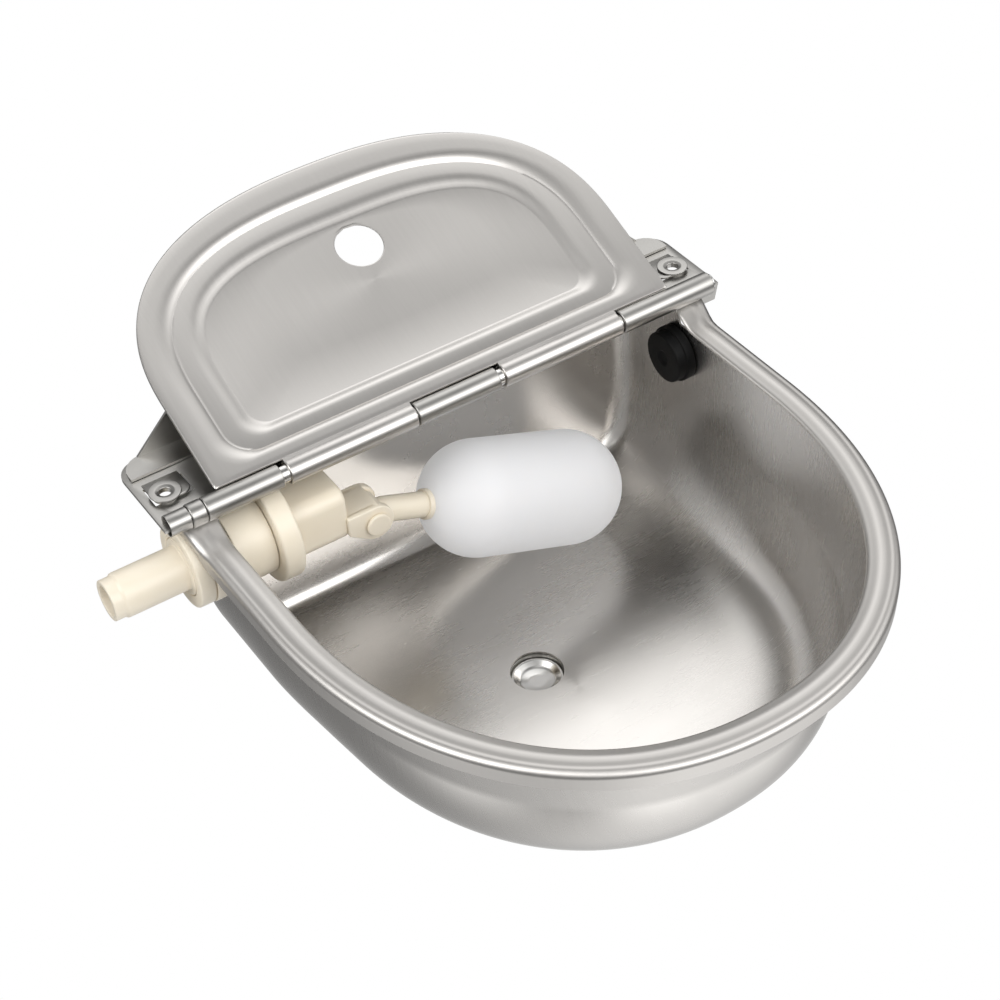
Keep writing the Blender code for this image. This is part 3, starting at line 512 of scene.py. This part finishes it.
def d_shape(half, rear, corner, bow_start, front, power):
    """D outline, walked from the middle of the rear line round the right side to the left."""
    side = 1.0 if front > rear else -1.0
    right = []
    for step in range(REAR_STEPS):
        right.append(((half - corner) * step / REAR_STEPS, rear))
    for step in range(ARC_STEPS):
        turn = math.pi / 2 * step / ARC_STEPS
        x = half - corner + corner * math.sin(turn)
        y = rear + side * corner * (1.0 - math.cos(turn))
        right.append((x, y))
    start = rear + side * corner
    for step in range(SIDE_STEPS):
        right.append((half, start + (bow_start - start) * step / SIDE_STEPS))
    for step in range(BOW_STEPS + 1):
        turn = math.pi / 2 * step / BOW_STEPS
        x = half * max(math.cos(turn), 0.0) ** (2.0 / power)
        y = bow_start + (front - bow_start) * math.sin(turn) ** (2.0 / power)
        right.append((x, y))
    right[-1] = (0.0, front)
    left = [(-x, y) for x, y in reversed(right[1:-1])]
    return right + left


def smooth_share(low, high, value):
    """Rises smoothly from 0 at low to 1 at high."""
    part = min(1.0, max(0.0, (value - low) / (high - low)))
    return part * part * (3.0 - 2.0 * part)


def bowl_outline():
    return d_shape(BOWL_HALF, BOWL_REAR, BOWL_CORNER, BOWL_BOW_START, BOWL_FRONT, BOWL_BOW)


def bowl_rows():
    """Rows of the pan from the top of its wall to the edge of the drain's hole."""
    outline = bowl_outline()
    rows = []
    for step in range(WALL_ROWS + 1):
        part = step / WALL_ROWS
        row = []
        for x, y in outline:
            top = REAR_TOP if y > RIM_END else RIM_Z - SHEET
            draft = WALL_DRAFT * smooth_share(DRAFT_START, DRAFT_FULL, y) * part
            row.append(Vector((x * (1.0 - draft), y * (1.0 - draft), top + (WALL_LOW - top) * part)))
        rows.append(row)
    wall = rows[-1]
    middle = Vector((0.0, FLOOR_CENTRE_Y))
    for step in range(1, FLOOR_ROWS):
        turn = math.pi / 2 * step / FLOOR_ROWS
        scale = math.cos(turn) ** (2.0 / FLOOR_POWER)
        depth = WALL_LOW + (FLOOR_Z - WALL_LOW) * math.sin(turn)
        row = []
        for point in wall:
            flat = middle + (point.xy - middle) * scale
            row.append(Vector((flat.x, flat.y, depth)))
        rows.append(row)
    edge = rows[-1]
    centre = Vector(DRAIN)
    for step in range(1, FLOOR_MIDDLE_ROWS + 1):
        part = step / FLOOR_MIDDLE_ROWS
        row = []
        for point in edge:
            gap = point.xy - centre
            hole = centre + gap.normalized() * DRAIN_R
            flat = point.xy.lerp(hole, part)
            row.append(Vector((flat.x, flat.y, point.z + (FLOOR_Z - point.z) * min(1.0, 2 * part))))
        rows.append(row)
    return rows


def make_pan(stuff):
    """Drawn pan with the holes for the valve and the plug."""
    pan = skin("pan", bowl_rows(), stuff)
    thicken(pan, SHEET, 1.0)
    reach = BOWL_HALF + HOLE_REACH
    inside = BOWL_HALF - HOLE_REACH
    left = rod("left", SHANK_R + SEAT, -reach, -inside, along_x(VALVE_Y, VALVE_Z), stuff)
    right = rod("right", PLUG_HOLE_R + SEAT, inside, reach, along_x(PLUG_Y, PLUG_Z), stuff)
    return carve(pan, left, right)


def fine_profile(points):
    """Catmull-Rom curve through points."""
    found = []
    ends = [Vector(point) for point in points]
    ends = [ends[0] * 2 - ends[1]] + ends + [ends[-1] * 2 - ends[-2]]
    for a, b, c, d in zip(ends, ends[1:], ends[2:], ends[3:]):
        for step in range(CURVE_ROWS):
            t = step / CURVE_ROWS
            found.append(0.5 * ((2 * b) + (c - a) * t + (2 * a - 5 * b + 4 * c - d) * t * t
                                + (3 * b - a - 3 * c + d) * t * t * t))
    found.append(ends[-2])
    return found


def rim_path():
    """Points and outward directions of the rim's inner edge, from one end round the front to the other."""
    outline = [point for point in bowl_outline() if point[1] < RIM_BACK]
    points = [Vector((BOWL_HALF, RIM_BACK))] + [Vector(point) for point in outline]
    points.append(Vector((-BOWL_HALF, RIM_BACK)))
    sides = []
    for at, _ in enumerate(points):
        before = points[max(at - 1, 0)]
        after = points[min(at + 1, len(points) - 1)]
        run = (after - before).normalized()
        side = Vector((run.y, -run.x))
        sides.append(side if side.dot(points[at] - Vector((0.0, BOWL_BOW_START))) > 0.0 else -side)
    return points, sides


def make_rim(stuff):
    """Rolled rim round the front and the sides; its ends flare out to meet the bracket."""
    points, sides = rim_path()
    width = RIM_PROFILE[-1][0]
    rows = []
    for out, up in fine_profile(RIM_PROFILE):
        row = []
        for point, side in zip(points, sides):
            stretch = 1.0 + RIM_FLARE / width * smooth_share(RIM_FLARE_START, RIM_BACK, point.y)
            flat = point + side * out * stretch
            lift = RIM_LIFT * smooth_share(RIM_LIFT_START, RIM_BACK, point.y)
            row.append(Vector((flat.x, flat.y, up + lift)))
        rows.append(row)
    rim = thicken(skin("rim", rows, stuff, closed=False), SHEET, 0.0)
    nut_room = OUTER_WASHER_R + 2 * SEAT
    nut = rod("nut", nut_room, LOCK_NUT_X[0] - CUT, -BOWL_HALF - SHEET - SEAT,
              along_x(VALVE_Y, VALVE_Z), stuff)
    return carve(rim, nut, folded=True)


def on_lid(u, v, w):
    """Point of the lid's own plane, in the shared frame."""
    across = Vector((0.0, math.cos(LID_ANGLE), math.sin(LID_ANGLE)))
    up = Vector((0.0, -math.sin(LID_ANGLE), math.cos(LID_ANGLE)))
    return Vector((u, 0.0, 0.0)) + across * v + up * w


def make_lid(stuff):
    """Pressed lid: a flange, a wide rounded step down to a crease, a band and a sunken panel."""
    outlines = [d_shape(*ring) for ring in LID_RINGS]
    rows = []
    edge = []
    for u, v in outlines[0]:
        drop = LID_HEM * smooth_share(LID_REAR + SHEET, LID_REAR + KNUCKLE_R, v)
        edge.append(on_lid(u, v, LID_FACE - SHEET - drop))
    rows.append(edge)
    for place, depth in LID_STEPS:
        ring = min(int(place), len(outlines) - 2)
        part = place - ring
        rows.append([on_lid(a[0] + (b[0] - a[0]) * part, a[1] + (b[1] - a[1]) * part, LID_FACE - depth)
                     for a, b in zip(outlines[ring], outlines[ring + 1])])
    low = LID_STEPS[-1][1]
    hole = Vector(LID_HOLE)
    for share, wider, deeper in LID_LIPS:
        row = []
        for point in outlines[-1]:
            gap = (Vector(point) - hole).normalized() * (LID_HOLE_R + wider)
            flat = Vector(point).lerp(hole + gap, share)
            row.append(on_lid(flat.x, flat.y, LID_FACE - low - deeper))
        rows.append(row)
    pieces = [thicken(skin("lid_sheet", rows, stuff), SHEET, -1.0)]
    for start, end in LID_KNUCKLES:
        pieces.append(knuckle(start, end, stuff))
        outline = ((start, LID_ROOT), (end, LID_ROOT), (end, LID_REAR + SHEET), (start, LID_REAR + SHEET))
        heights = (LID_FACE - SHEET, LID_FACE - SEAT / 2)
        root = [[on_lid(u, v, w) for u, v in outline] for w in heights]
        pieces.append(skin("root", root, stuff, caps=True))
    return pieces


def knuckle(start, end, stuff):
    profile = ring_profile(ROD_R + SEAT / 2, KNUCKLE_R, start, end)
    return turned("knuckle", profile, along_x(0.0, 0.0), stuff)


def bracket_outline():
    points = [(-PLATE_HALF, RIM_END), (PLATE_HALF, RIM_END)]
    corners = ((PLATE_HALF - PLATE_CORNER, 0.0), (PLATE_CORNER - PLATE_HALF, math.pi / 2))
    for centre, start in corners:
        for step in range(CORNER_STEPS + 1):
            turn = start + math.pi / 2 * step / CORNER_STEPS
            points.append((centre + PLATE_CORNER * math.cos(turn),
                           PLATE_REAR - PLATE_CORNER + PLATE_CORNER * math.sin(turn)))
    return points


def make_lug(side, stuff):
    """Pressed tongue round an ear's hole; its free front is rounded and stands up a little."""
    left, right = sorted((side * LUG_OUTER, -side * LUG_INNER))
    front = -LUG_FRONT - LUG_BACK
    points = [(right, 0.0), (left, 0.0)]
    for centre, start in ((left + LUG_CORNER, math.pi), (right - LUG_CORNER, math.pi * 3 / 2)):
        for step in range(CORNER_STEPS + 1):
            turn = start + math.pi / 2 * step / CORNER_STEPS
            points.append((centre + LUG_CORNER * math.cos(turn),
                           front + LUG_CORNER * (1.0 + math.sin(turn))))
    lug = prism("lug", points, -SHEET, 0.0, stuff, FILLET / 2)
    lug.data.transform(Matrix.Rotation(-LUG_RISE, 4, "X"))
    lug.data.transform(Matrix.Translation((side * EAR_HOLE[0], EAR_HOLE[1] + LUG_BACK, PLATE_TOP)))
    hole = rod("hole", NUT_NECK_R, -CUT - PLATE, NUT_TOP + CUT,
               along_z(side * EAR_HOLE[0], EAR_HOLE[1]), stuff)
    return carve(lug, hole)


def make_bracket(stuff):
    """Plate with its notches and slots, the fixed knuckles, the lugs, the rolled end and the apron."""
    low = PLATE_TOP - PLATE
    plate = prism("plate", bracket_outline(), low, PLATE_TOP, stuff)
    pieces = [plate]
    for start, end in LID_KNUCKLES:
        first = (start - NOTCH_PLAY - CUT, RIM_END - CUT, low - CUT)
        carve(plate, box("notch", first, (end + NOTCH_PLAY + CUT, PLATE_NOTCH, PLATE_TOP + CUT), stuff))
    for start, end in FIXED_KNUCKLES:
        carve(plate, rod("room", KNUCKLE_R - SEAT, start - SHEET, end + SHEET, along_x(0.0, 0.0), stuff))
        pieces.append(knuckle(start, end, stuff))
    for side in (-1.0, 1.0):
        x, y = side * EAR_HOLE[0], EAR_HOLE[1]
        inner, outer = sorted((x + side * EAR_SLOT[0] - side * CUT, x + side * EAR_SLOT[1]))
        slot_low = (inner, y + EAR_SLOT[2], low - CUT)
        carve(plate, box("slot", slot_low, (outer, y + EAR_SLOT[3], PLATE_TOP + CUT), stuff))
        pieces.append(make_lug(side, stuff))
    rolled = ring_profile(ROD_R + SEAT, ROLLED_END_R, *ROLLED_END)
    pieces.append(turned("rolled_end", rolled, along_x(0.0, 0.0), stuff))
    inner = BOWL_HALF + RIM_PROFILE[-1][0] + RIM_FLARE
    rows = []
    for lean, z in ((APRON_LEAN, low - APRON_DROP), (0.0, low + PLATE / 2)):
        front, back = RIM_END + lean, RIM_END + lean + PLATE
        rows.append([Vector(place) for place in ((inner, front, z), (PLATE_HALF, front, z),
                                                 (PLATE_HALF, back, z), (inner, back, z))])
    pieces.append(skin("apron", rows, stuff, caps=True))
    round_edges(plate, FILLET / 2)
    return pieces


def make_ear_nut(side, stuff):
    """Rolled eyelet in an ear."""
    shoulder = PLATE_TOP + LUG_BACK * math.tan(LUG_RISE) + SEAT
    middle = (NUT_TOP + NUT_BOTTOM) / 2
    top = NUT_TOP - SEAT
    profile = ((NUT_HOLE_R, middle), (NUT_HOLE_R, NUT_BOTTOM), (NUT_NECK_R, NUT_BOTTOM),
               (NUT_NECK_R, shoulder), (NUT_RING_R, shoulder), (NUT_RING_R, top), (NUT_DISH_R, top),
               (NUT_HOLE_R, top - FILLET), (NUT_HOLE_R, middle))
    place = along_z(side * EAR_HOLE[0], EAR_HOLE[1])
    return turned("eyelet", soften(profile, FILLET / 2), place, stuff)


def make_valve(stuff):
    """Turned pieces of the valve, by the node that each one dresses."""
    axis = along_x(VALVE_Y, VALVE_Z)
    shoulder = -BOWL_HALF + GASKET + 2 * SEAT
    bottom = RING_END - HEAD_WALL
    body = ((0.0, bottom), (INLET_BORE_R, bottom), (INLET_BORE_R, SPIGOT_TIP), (SPIGOT_TIP_R, SPIGOT_TIP),
            (SPIGOT_TIP_R, SPIGOT_STEP), (SPIGOT_R, SPIGOT_STEP + SHEET), (SPIGOT_R, LOCK_NUT_X[0]),
            (SHANK_R, LOCK_NUT_X[0]), (SHANK_R, shoulder), (BODY_R, shoulder), (BODY_R, BODY_END),
            (BODY_NECK_R, BODY_END), (BODY_NECK_R, RING_END), (0.0, RING_END))
    nut = ring_profile(SHANK_R + SEAT, LOCK_NUT_R, LOCK_NUT_X[0], LOCK_NUT_X[1], SHEET)
    washer = ring_profile(SHANK_R + SEAT, OUTER_WASHER_R, LOCK_NUT_X[1] + SEAT, -BOWL_HALF - SHEET - SEAT)
    ring = ring_profile(BODY_NECK_R + SEAT, RING_R, BODY_END + SEAT, RING_END, SHEET + FILLET)
    return {
        "valve_body": turned("body", soften(body), axis, stuff),
        "outer_lock_nut": turned("nut", nut, axis, stuff),
        "outer_washer": turned("washer", washer, axis, stuff),
        "clamp_ring": turned("ring", ring, axis, stuff),
    }


def head_section(inset):
    """Rounded outline of the valve's head, drawn in by an inset."""
    front, back = HEAD_FRONT + inset, HEAD_BACK - inset
    low, high = HEAD_LOW + inset, HEAD_HIGH - inset
    corner = HEAD_CORNER - inset
    corners = ((back - corner, high - corner), (front + corner, high - corner),
               (front + corner, low + corner), (back - corner, low + corner))
    points = []
    for quarter, (y, z) in enumerate(corners):
        for step in range(CORNER_STEPS + 1):
            turn = math.pi / 2 * (quarter + step / CORNER_STEPS)
            points.append((y + corner * math.cos(turn), z + corner * math.sin(turn)))
    return points


def cheek_outline():
    """Flat start inside the head, and an arc round the pivot from below to above it."""
    x, z = PIVOT
    start = HEAD_END - HEAD_WALL / 2
    points = [(start, FORK_TOP), (start, HEAD_LOW + HEAD_CORNER / 2)]
    steps = 3 * CORNER_STEPS
    for step in range(steps + 1):
        turn = CHEEK_START_ANGLE + CHEEK_SWEEP * step / steps
        points.append((x + CHEEK_R * math.cos(turn), z + CHEEK_R * math.sin(turn)))
    return points


def make_head(stuff):
    """Block with rounded edges, its fork's two cheeks and the web over them."""
    start = RING_END + SEAT
    rows = [[Vector((start, y, z)) for y, z in head_section(0.0)]]
    for step in range(CORNER_STEPS + 1):
        turn = math.pi / 2 * step / CORNER_STEPS
        inset = HEAD_ROUND * (1.0 - math.cos(turn))
        x = HEAD_END - HEAD_ROUND + HEAD_ROUND * math.sin(turn)
        rows.append([Vector((x, y, z)) for y, z in head_section(inset)])
    pieces = [skin("head", rows, stuff, caps=True)]
    near = ARM_Y - CHEEK_GAP - CHEEK
    far = ARM_Y + CHEEK_GAP
    for low in (near, far):
        rows = [[Vector((x, y, z)) for x, z in cheek_outline()] for y in (low, low + CHEEK)]
        pieces.append(round_edges(skin("cheek", rows, stuff, caps=True), FILLET))
    web_low = (HEAD_END - HEAD_WALL, near + CHEEK / 2, FORK_TOP - WEB)
    pieces.append(box("web", web_low, (WEB_END, far + CHEEK / 2, FORK_TOP), stuff, FILLET / 2))
    return pieces


def arm_place():
    """Frame with its height along the lever arm, away from the pivot."""
    turn = Matrix.Rotation(math.pi / 2 + ARM_ANGLE, 4, "Y")
    return Matrix.Translation((PIVOT[0], ARM_Y, PIVOT[1])) @ turn


def make_pin(stuff):
    """Pin through both cheeks, with its head at the front."""
    front = -ARM_Y + CHEEK_GAP + CHEEK + SEAT
    back = -ARM_Y - CHEEK_GAP - CHEEK - SEAT
    profile = ((0.0, back), (PIN_R, back), (PIN_R, front), (PIN_HEAD_R, front),
               (PIN_HEAD_R, front + PIN_HEAD), (0.0, front + PIN_HEAD))
    return turned("pin", soften(profile, SHEET), towards_front(*PIVOT), stuff)


def make_lever(stuff):
    """Boss round the pin, arm with its collar at the float, and the toe that pushes the plunger."""
    near_end = FLOAT_MID - FLOAT_STRAIGHT / 2 - FLOAT_R
    bore = PIN_R + SEAT
    boss = ring_profile(bore, BOSS_R, -ARM_Y - BOSS_HALF, -ARM_Y + BOSS_HALF)
    shaft = ((0.0, bore), (ARM_R - SHEET, bore), (ARM_R, BOSS_R + SHEET), (ARM_R, near_end - SHEET),
             (ARM_NECK_R, near_end - SHEET), (ARM_NECK_R, near_end + FLOAT_SOCKET),
             (0.0, near_end + FLOAT_SOCKET))
    collar_end = near_end + SHEET / 2
    collar = ((ARM_R, collar_end - COLLAR), (COLLAR_R, collar_end - COLLAR), (COLLAR_R, collar_end),
              (ARM_NECK_R, collar_end))
    toe = box("toe", (TOE_X[0], ARM_Y - TOE_HALF, PIVOT[1]),
              (TOE_X[1], ARM_Y + BOSS_HALF - SEAT, TOE_TOP), stuff, FILLET)
    return [turned("boss", boss, towards_front(*PIVOT), stuff),
            turned("shaft", soften(shaft), arm_place(), stuff),
            turned("collar", soften(collar), arm_place(), stuff), toe]


def make_float(stuff):
    """Capsule with a hole for the arm."""
    near = FLOAT_MID - FLOAT_STRAIGHT / 2
    far = FLOAT_MID + FLOAT_STRAIGHT / 2
    neck = ARM_NECK_R + SEAT
    first = math.asin(neck / FLOAT_R)
    steps = 3 * CORNER_STEPS
    profile = [(neck, near - FLOAT_R * math.cos(first) + SHEET)]
    for step in range(steps + 1):
        turn = first + (math.pi / 2 - first) * step / steps
        profile.append((FLOAT_R * math.sin(turn), near - FLOAT_R * math.cos(turn)))
    for step in range(steps + 1):
        turn = math.pi / 2 * (1.0 - step / steps)
        profile.append((FLOAT_R * math.sin(turn), far + FLOAT_R * math.cos(turn)))
    return turned("capsule", profile, arm_place(), stuff)


def make_plug(stuff):
    """Rubber plug with a dimple in its face and a flange against the wall."""
    profile = ((0.0, PLUG_FACE_X + SHEET), (PLUG_DIMPLE_R, PLUG_FACE_X + SHEET),
               (PLUG_DIMPLE_R + SHEET, PLUG_FACE_X), (PLUG_R, PLUG_FACE_X), (PLUG_R, PLUG_FLANGE_X),
               (PLUG_FLANGE_R, PLUG_FLANGE_X), (PLUG_FLANGE_R, BOWL_HALF - SEAT),
               (PLUG_HOLE_R, BOWL_HALF - SEAT), (PLUG_HOLE_R, PLUG_OUT), (0.0, PLUG_OUT))
    return turned("plug", soften(profile, SHEET), along_x(PLUG_Y, PLUG_Z), stuff)


def make_drain_plug(stuff):
    """Plug with a dished top and a flat head under its seat."""
    seat = FLOOR_Z - SHEET - SEAT - SOCKET_H - DRAIN_GASKET - 2 * SEAT
    top = FLOOR_Z - SHEET - DRAIN_TOP_GAP
    stem = DRAIN_R - SEAT
    profile = ((0.0, seat - DRAIN_HEAD_H), (DRAIN_HEAD_R, seat - DRAIN_HEAD_H),
               (DRAIN_HEAD_R, seat), (stem, seat), (stem, top), (stem - SHEET, top),
               (stem * DISH_OUTER_SHARE, top - DRAIN_DISH * DISH_SLOPE_SHARE),
               (stem * DISH_INNER_SHARE, top - DRAIN_DISH), (0.0, top - DRAIN_DISH))
    return turned("drain", soften(profile, SHEET), along_z(*DRAIN), stuff)


def node_tools(stuff):
    tree = stuff.node_tree

    def new(kind, **settings):
        node = tree.nodes.new(kind)
        for key, value in settings.items():
            setattr(node, key, value)
        return node

    return tree, new


def steel(name, colour, roughness, grain_stretch, grain_depth=GRAIN_DEPTH_SHARE):
    """Brushed stainless: long fine grain and faint cloudy smears."""
    stuff = bpy.data.materials.new(name)
    stuff.use_nodes = True
    tree, new = node_tools(stuff)
    shader = tree.nodes["Principled BSDF"]
    shader.inputs["Metallic"].default_value = 1.0
    shader.inputs["Anisotropic"].default_value = STEEL_ANISOTROPY
    where = new("ShaderNodeTexCoord")
    stretch = new("ShaderNodeMapping")
    stretch.inputs["Scale"].default_value = grain_stretch
    tree.links.new(where.outputs["Object"], stretch.inputs["Vector"])
    grain = new("ShaderNodeTexNoise")
    grain.inputs["Scale"].default_value = 1.0
    grain.inputs["Detail"].default_value = GRAIN_DETAIL
    grain.inputs["Roughness"].default_value = GRAIN_ROUGHNESS
    tree.links.new(stretch.outputs["Vector"], grain.inputs["Vector"])
    cloud = new("ShaderNodeTexNoise")
    cloud.inputs["Scale"].default_value = CLOUD_WAVES
    cloud.inputs["Detail"].default_value = CLOUD_DETAIL
    tree.links.new(where.outputs["Object"], cloud.inputs["Vector"])
    rough = new("ShaderNodeMapRange")
    rough.inputs["To Min"].default_value = roughness - STEEL_SMOOTHER
    rough.inputs["To Max"].default_value = roughness + STEEL_ROUGHER
    blend = new("ShaderNodeMix", data_type="FLOAT")
    blend.inputs["Factor"].default_value = GRAIN_SHARE
    tree.links.new(grain.outputs["Fac"], blend.inputs[2])
    tree.links.new(cloud.outputs["Fac"], blend.inputs[3])
    tree.links.new(blend.outputs[0], rough.inputs["Value"])
    tree.links.new(rough.outputs["Result"], shader.inputs["Roughness"])
    tint = new("ShaderNodeMix", data_type="RGBA")
    tint.inputs[6].default_value = (*[value * GRAIN_DARK_SHARE for value in colour], 1.0)
    tint.inputs[7].default_value = (*colour, 1.0)
    tree.links.new(grain.outputs["Fac"], tint.inputs["Factor"])
    tree.links.new(tint.outputs[2], shader.inputs["Base Color"])
    bump = new("ShaderNodeBump")
    bump.inputs["Strength"].default_value = grain_depth
    bump.inputs["Distance"].default_value = GRAIN_DEPTH
    tree.links.new(grain.outputs["Fac"], bump.inputs["Height"])
    tree.links.new(bump.outputs["Normal"], shader.inputs["Normal"])
    return stuff


def plastic(name, light, dark, roughness, scatter=0.0, speck=SPECK_WAVES):
    """Moulded plastic or rubber: two close colours in soft specks, and light that goes in a little."""
    stuff = bpy.data.materials.new(name)
    stuff.use_nodes = True
    tree, new = node_tools(stuff)
    shader = tree.nodes["Principled BSDF"]
    where = new("ShaderNodeTexCoord")
    cloud = new("ShaderNodeTexNoise")
    cloud.inputs["Scale"].default_value = speck
    cloud.inputs["Detail"].default_value = SPECK_DETAIL
    tree.links.new(where.outputs["Object"], cloud.inputs["Vector"])
    tint = new("ShaderNodeMix", data_type="RGBA")
    tint.inputs[6].default_value = (*dark, 1.0)
    tint.inputs[7].default_value = (*light, 1.0)
    tree.links.new(cloud.outputs["Fac"], tint.inputs["Factor"])
    tree.links.new(tint.outputs[2], shader.inputs["Base Color"])
    rough = new("ShaderNodeMapRange")
    rough.inputs["To Min"].default_value = roughness - PLASTIC_SMOOTHER
    rough.inputs["To Max"].default_value = roughness + PLASTIC_ROUGHER
    tree.links.new(cloud.outputs["Fac"], rough.inputs["Value"])
    tree.links.new(rough.outputs["Result"], shader.inputs["Roughness"])
    if scatter > 0.0:
        shader.inputs["Subsurface Weight"].default_value = scatter
        shader.inputs["Subsurface Scale"].default_value = SCATTER_DEPTH
        shader.inputs["Subsurface Radius"].default_value = SCATTER_COLOUR
    return stuff


def paint(node, stuff):
    """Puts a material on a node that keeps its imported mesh."""
    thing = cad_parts[node]
    for slot in thing.material_slots:
        slot.material = stuff
    if not thing.material_slots:
        thing.data.materials.append(stuff)


def set_camera():
    """Camera that sees the hinge's middle where the photograph has it."""
    level = math.cos(CAMERA_RISE)
    back = Vector((math.sin(CAMERA_TURN) * level, -math.cos(CAMERA_TURN) * level, math.sin(CAMERA_RISE)))
    right = Vector((math.cos(CAMERA_TURN), math.sin(CAMERA_TURN), 0.0))
    up = back.cross(right)
    upright, tilt = math.cos(CAMERA_ROLL), math.sin(CAMERA_ROLL)
    right, up = right * upright + up * tilt, up * upright - right * tilt
    half = PICTURE_SIZE / 2
    pixel = CAMERA_DISTANCE / FOCAL_PIXELS
    place = (back * CAMERA_DISTANCE
             - right * ((HINGE_IN_PICTURE[0] - half) * pixel)
             + up * ((HINGE_IN_PICTURE[1] - half) * pixel))
    data = bpy.data.cameras.new("camera")
    data.lens = FOCAL_PIXELS / PICTURE_SIZE * SENSOR_MM
    data.sensor_width = SENSOR_MM
    data.clip_start = CLIP_START
    camera = bpy.data.objects.new("camera", data)
    turn = Matrix((right, up, back)).transposed().to_4x4()
    camera.matrix_world = Matrix.Translation(place) @ turn
    bpy.context.scene.collection.objects.link(camera)
    bpy.context.scene.camera = camera


def set_world():
    """White to the camera; to everything else a dark room with soft lights all round."""
    world = bpy.data.worlds.new("studio")
    bpy.context.scene.world = world
    world.use_nodes = True
    tree, new = node_tools(world)
    tree.nodes.clear()
    where = new("ShaderNodeTexCoord")
    total = None
    for name, (direction, strength, focus) in SOFT_LIGHTS.items():
        facing = new("ShaderNodeVectorMath", operation="DOT_PRODUCT", label=name)
        facing.inputs[1].default_value = Vector(direction).normalized()
        tree.links.new(where.outputs["Generated"], facing.inputs[0])
        falloff = new("ShaderNodeMath", operation="MULTIPLY_ADD")
        falloff.inputs[1].default_value = focus
        falloff.inputs[2].default_value = -focus
        tree.links.new(facing.outputs["Value"], falloff.inputs[0])
        lobe = new("ShaderNodeMath", operation="EXPONENT")
        tree.links.new(falloff.outputs[0], lobe.inputs[0])
        summed = new("ShaderNodeMath", operation="MULTIPLY_ADD")
        summed.inputs[1].default_value = strength
        summed.inputs[2].default_value = ROOM_LIGHT
        tree.links.new(lobe.outputs[0], summed.inputs[0])
        if total is not None:
            tree.links.new(total.outputs[0], summed.inputs[2])
        total = summed
    room = new("ShaderNodeBackground")
    tree.links.new(total.outputs[0], room.inputs["Color"])
    white = new("ShaderNodeBackground")
    white.inputs["Color"].default_value = (*WHITE, 1.0)
    path = new("ShaderNodeLightPath")
    mix = new("ShaderNodeMixShader")
    out = new("ShaderNodeOutputWorld")
    tree.links.new(path.outputs["Is Camera Ray"], mix.inputs["Fac"])
    tree.links.new(room.outputs["Background"], mix.inputs[1])
    tree.links.new(white.outputs["Background"], mix.inputs[2])
    tree.links.new(mix.outputs["Shader"], out.inputs["Surface"])


def make_hinge_rod(stuff):
    profile = ((0.0, ROD_ENDS[0]), (ROD_R, ROD_ENDS[0]), (ROD_R, ROD_ENDS[1]), (0.0, ROD_ENDS[1]))
    return turned("rod", soften(profile), along_x(0.0, 0.0), stuff)


def dress(node, body, pieces):
    """The pieces take the place of a node and move with its body."""
    for piece in pieces:
        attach(piece, body)
        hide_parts(node)


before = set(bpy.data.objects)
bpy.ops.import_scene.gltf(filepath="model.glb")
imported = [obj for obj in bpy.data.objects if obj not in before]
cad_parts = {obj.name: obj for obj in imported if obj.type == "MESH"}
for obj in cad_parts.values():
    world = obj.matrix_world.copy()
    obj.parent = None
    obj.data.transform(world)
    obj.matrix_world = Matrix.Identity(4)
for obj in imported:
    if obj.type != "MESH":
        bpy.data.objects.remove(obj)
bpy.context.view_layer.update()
steel_pan = steel("drawn steel", STEEL, PAN_ROUGH, PAN_GRAIN, PAN_GRAIN_DEPTH_SHARE)
steel_rim = steel("rim steel", STEEL, RIM_ROUGH, PAN_GRAIN, PAN_GRAIN_DEPTH_SHARE)
steel_lid = steel("lid steel", STEEL, LID_ROUGH, LID_GRAIN)
# the plate's steel is darker than the pan's: painted shade
steel_plate = steel("plate steel", PLATE_SHADED_STEEL, PLATE_ROUGH, PLATE_GRAIN)
steel_bright = steel("bright steel", BRIGHT_STEEL, BRIGHT_ROUGH, ROD_GRAIN)
ivory = plastic("ivory plastic", IVORY, IVORY_DARK, IVORY_ROUGH, IVORY_SCATTER)
milky = plastic("milky plastic", MILK, MILK_DARK, MILK_ROUGH, MILK_SCATTER, MILK_WAVES)
# the float's painted glow: an even white light given off by the whole capsule
milky_shader = milky.node_tree.nodes["Principled BSDF"]
milky_shader.inputs["Emission Color"].default_value = (*WHITE, 1.0)
milky_shader.inputs["Emission Strength"].default_value = FLOAT_PAINTED_GLOW
rubber = plastic("black rubber", BLACK, BLACK_DARK, RUBBER_ROUGH)
rubber.node_tree.nodes["Principled BSDF"].inputs["Specular IOR Level"].default_value = RUBBER_SHINE

# wall plate and drain socket take the plate's darker steel, which is painted shade
for node in ("wall_plate", "drain_socket"):
    paint(node, steel_plate)
paint("plunger", ivory)
for node in ("inner_gasket", "plunger_seal", "drain_gasket"):
    paint(node, rubber)

dress("bowl_pan", "bowl", [make_pan(steel_pan), make_rim(steel_rim)])
dress("bracket_plate", "bowl", make_bracket(steel_plate))
dress("hinge_rod", "bowl", [make_hinge_rod(steel_bright)])
dress("ear_nut_left", "bowl", [make_ear_nut(-1.0, steel_plate)])
dress("ear_nut_right", "bowl", [make_ear_nut(1.0, steel_plate)])
for node, piece in make_valve(ivory).items():
    dress(node, "bowl", [piece])
dress("valve_head", "bowl", make_head(ivory))
dress("pivot_pin", "bowl", [make_pin(ivory)])
dress("lid", "lid", make_lid(steel_lid))
dress("lever_arm", "lever", make_lever(ivory))
dress("float", "lever", [make_float(milky)])
dress("rubber_plug", "rubber_plug", [make_plug(rubber)])
dress("drain_plug", "drain_plug", [make_drain_plug(steel_bright)])

set_camera()
set_world()
bpy.context.scene.view_settings.view_transform = "Standard"
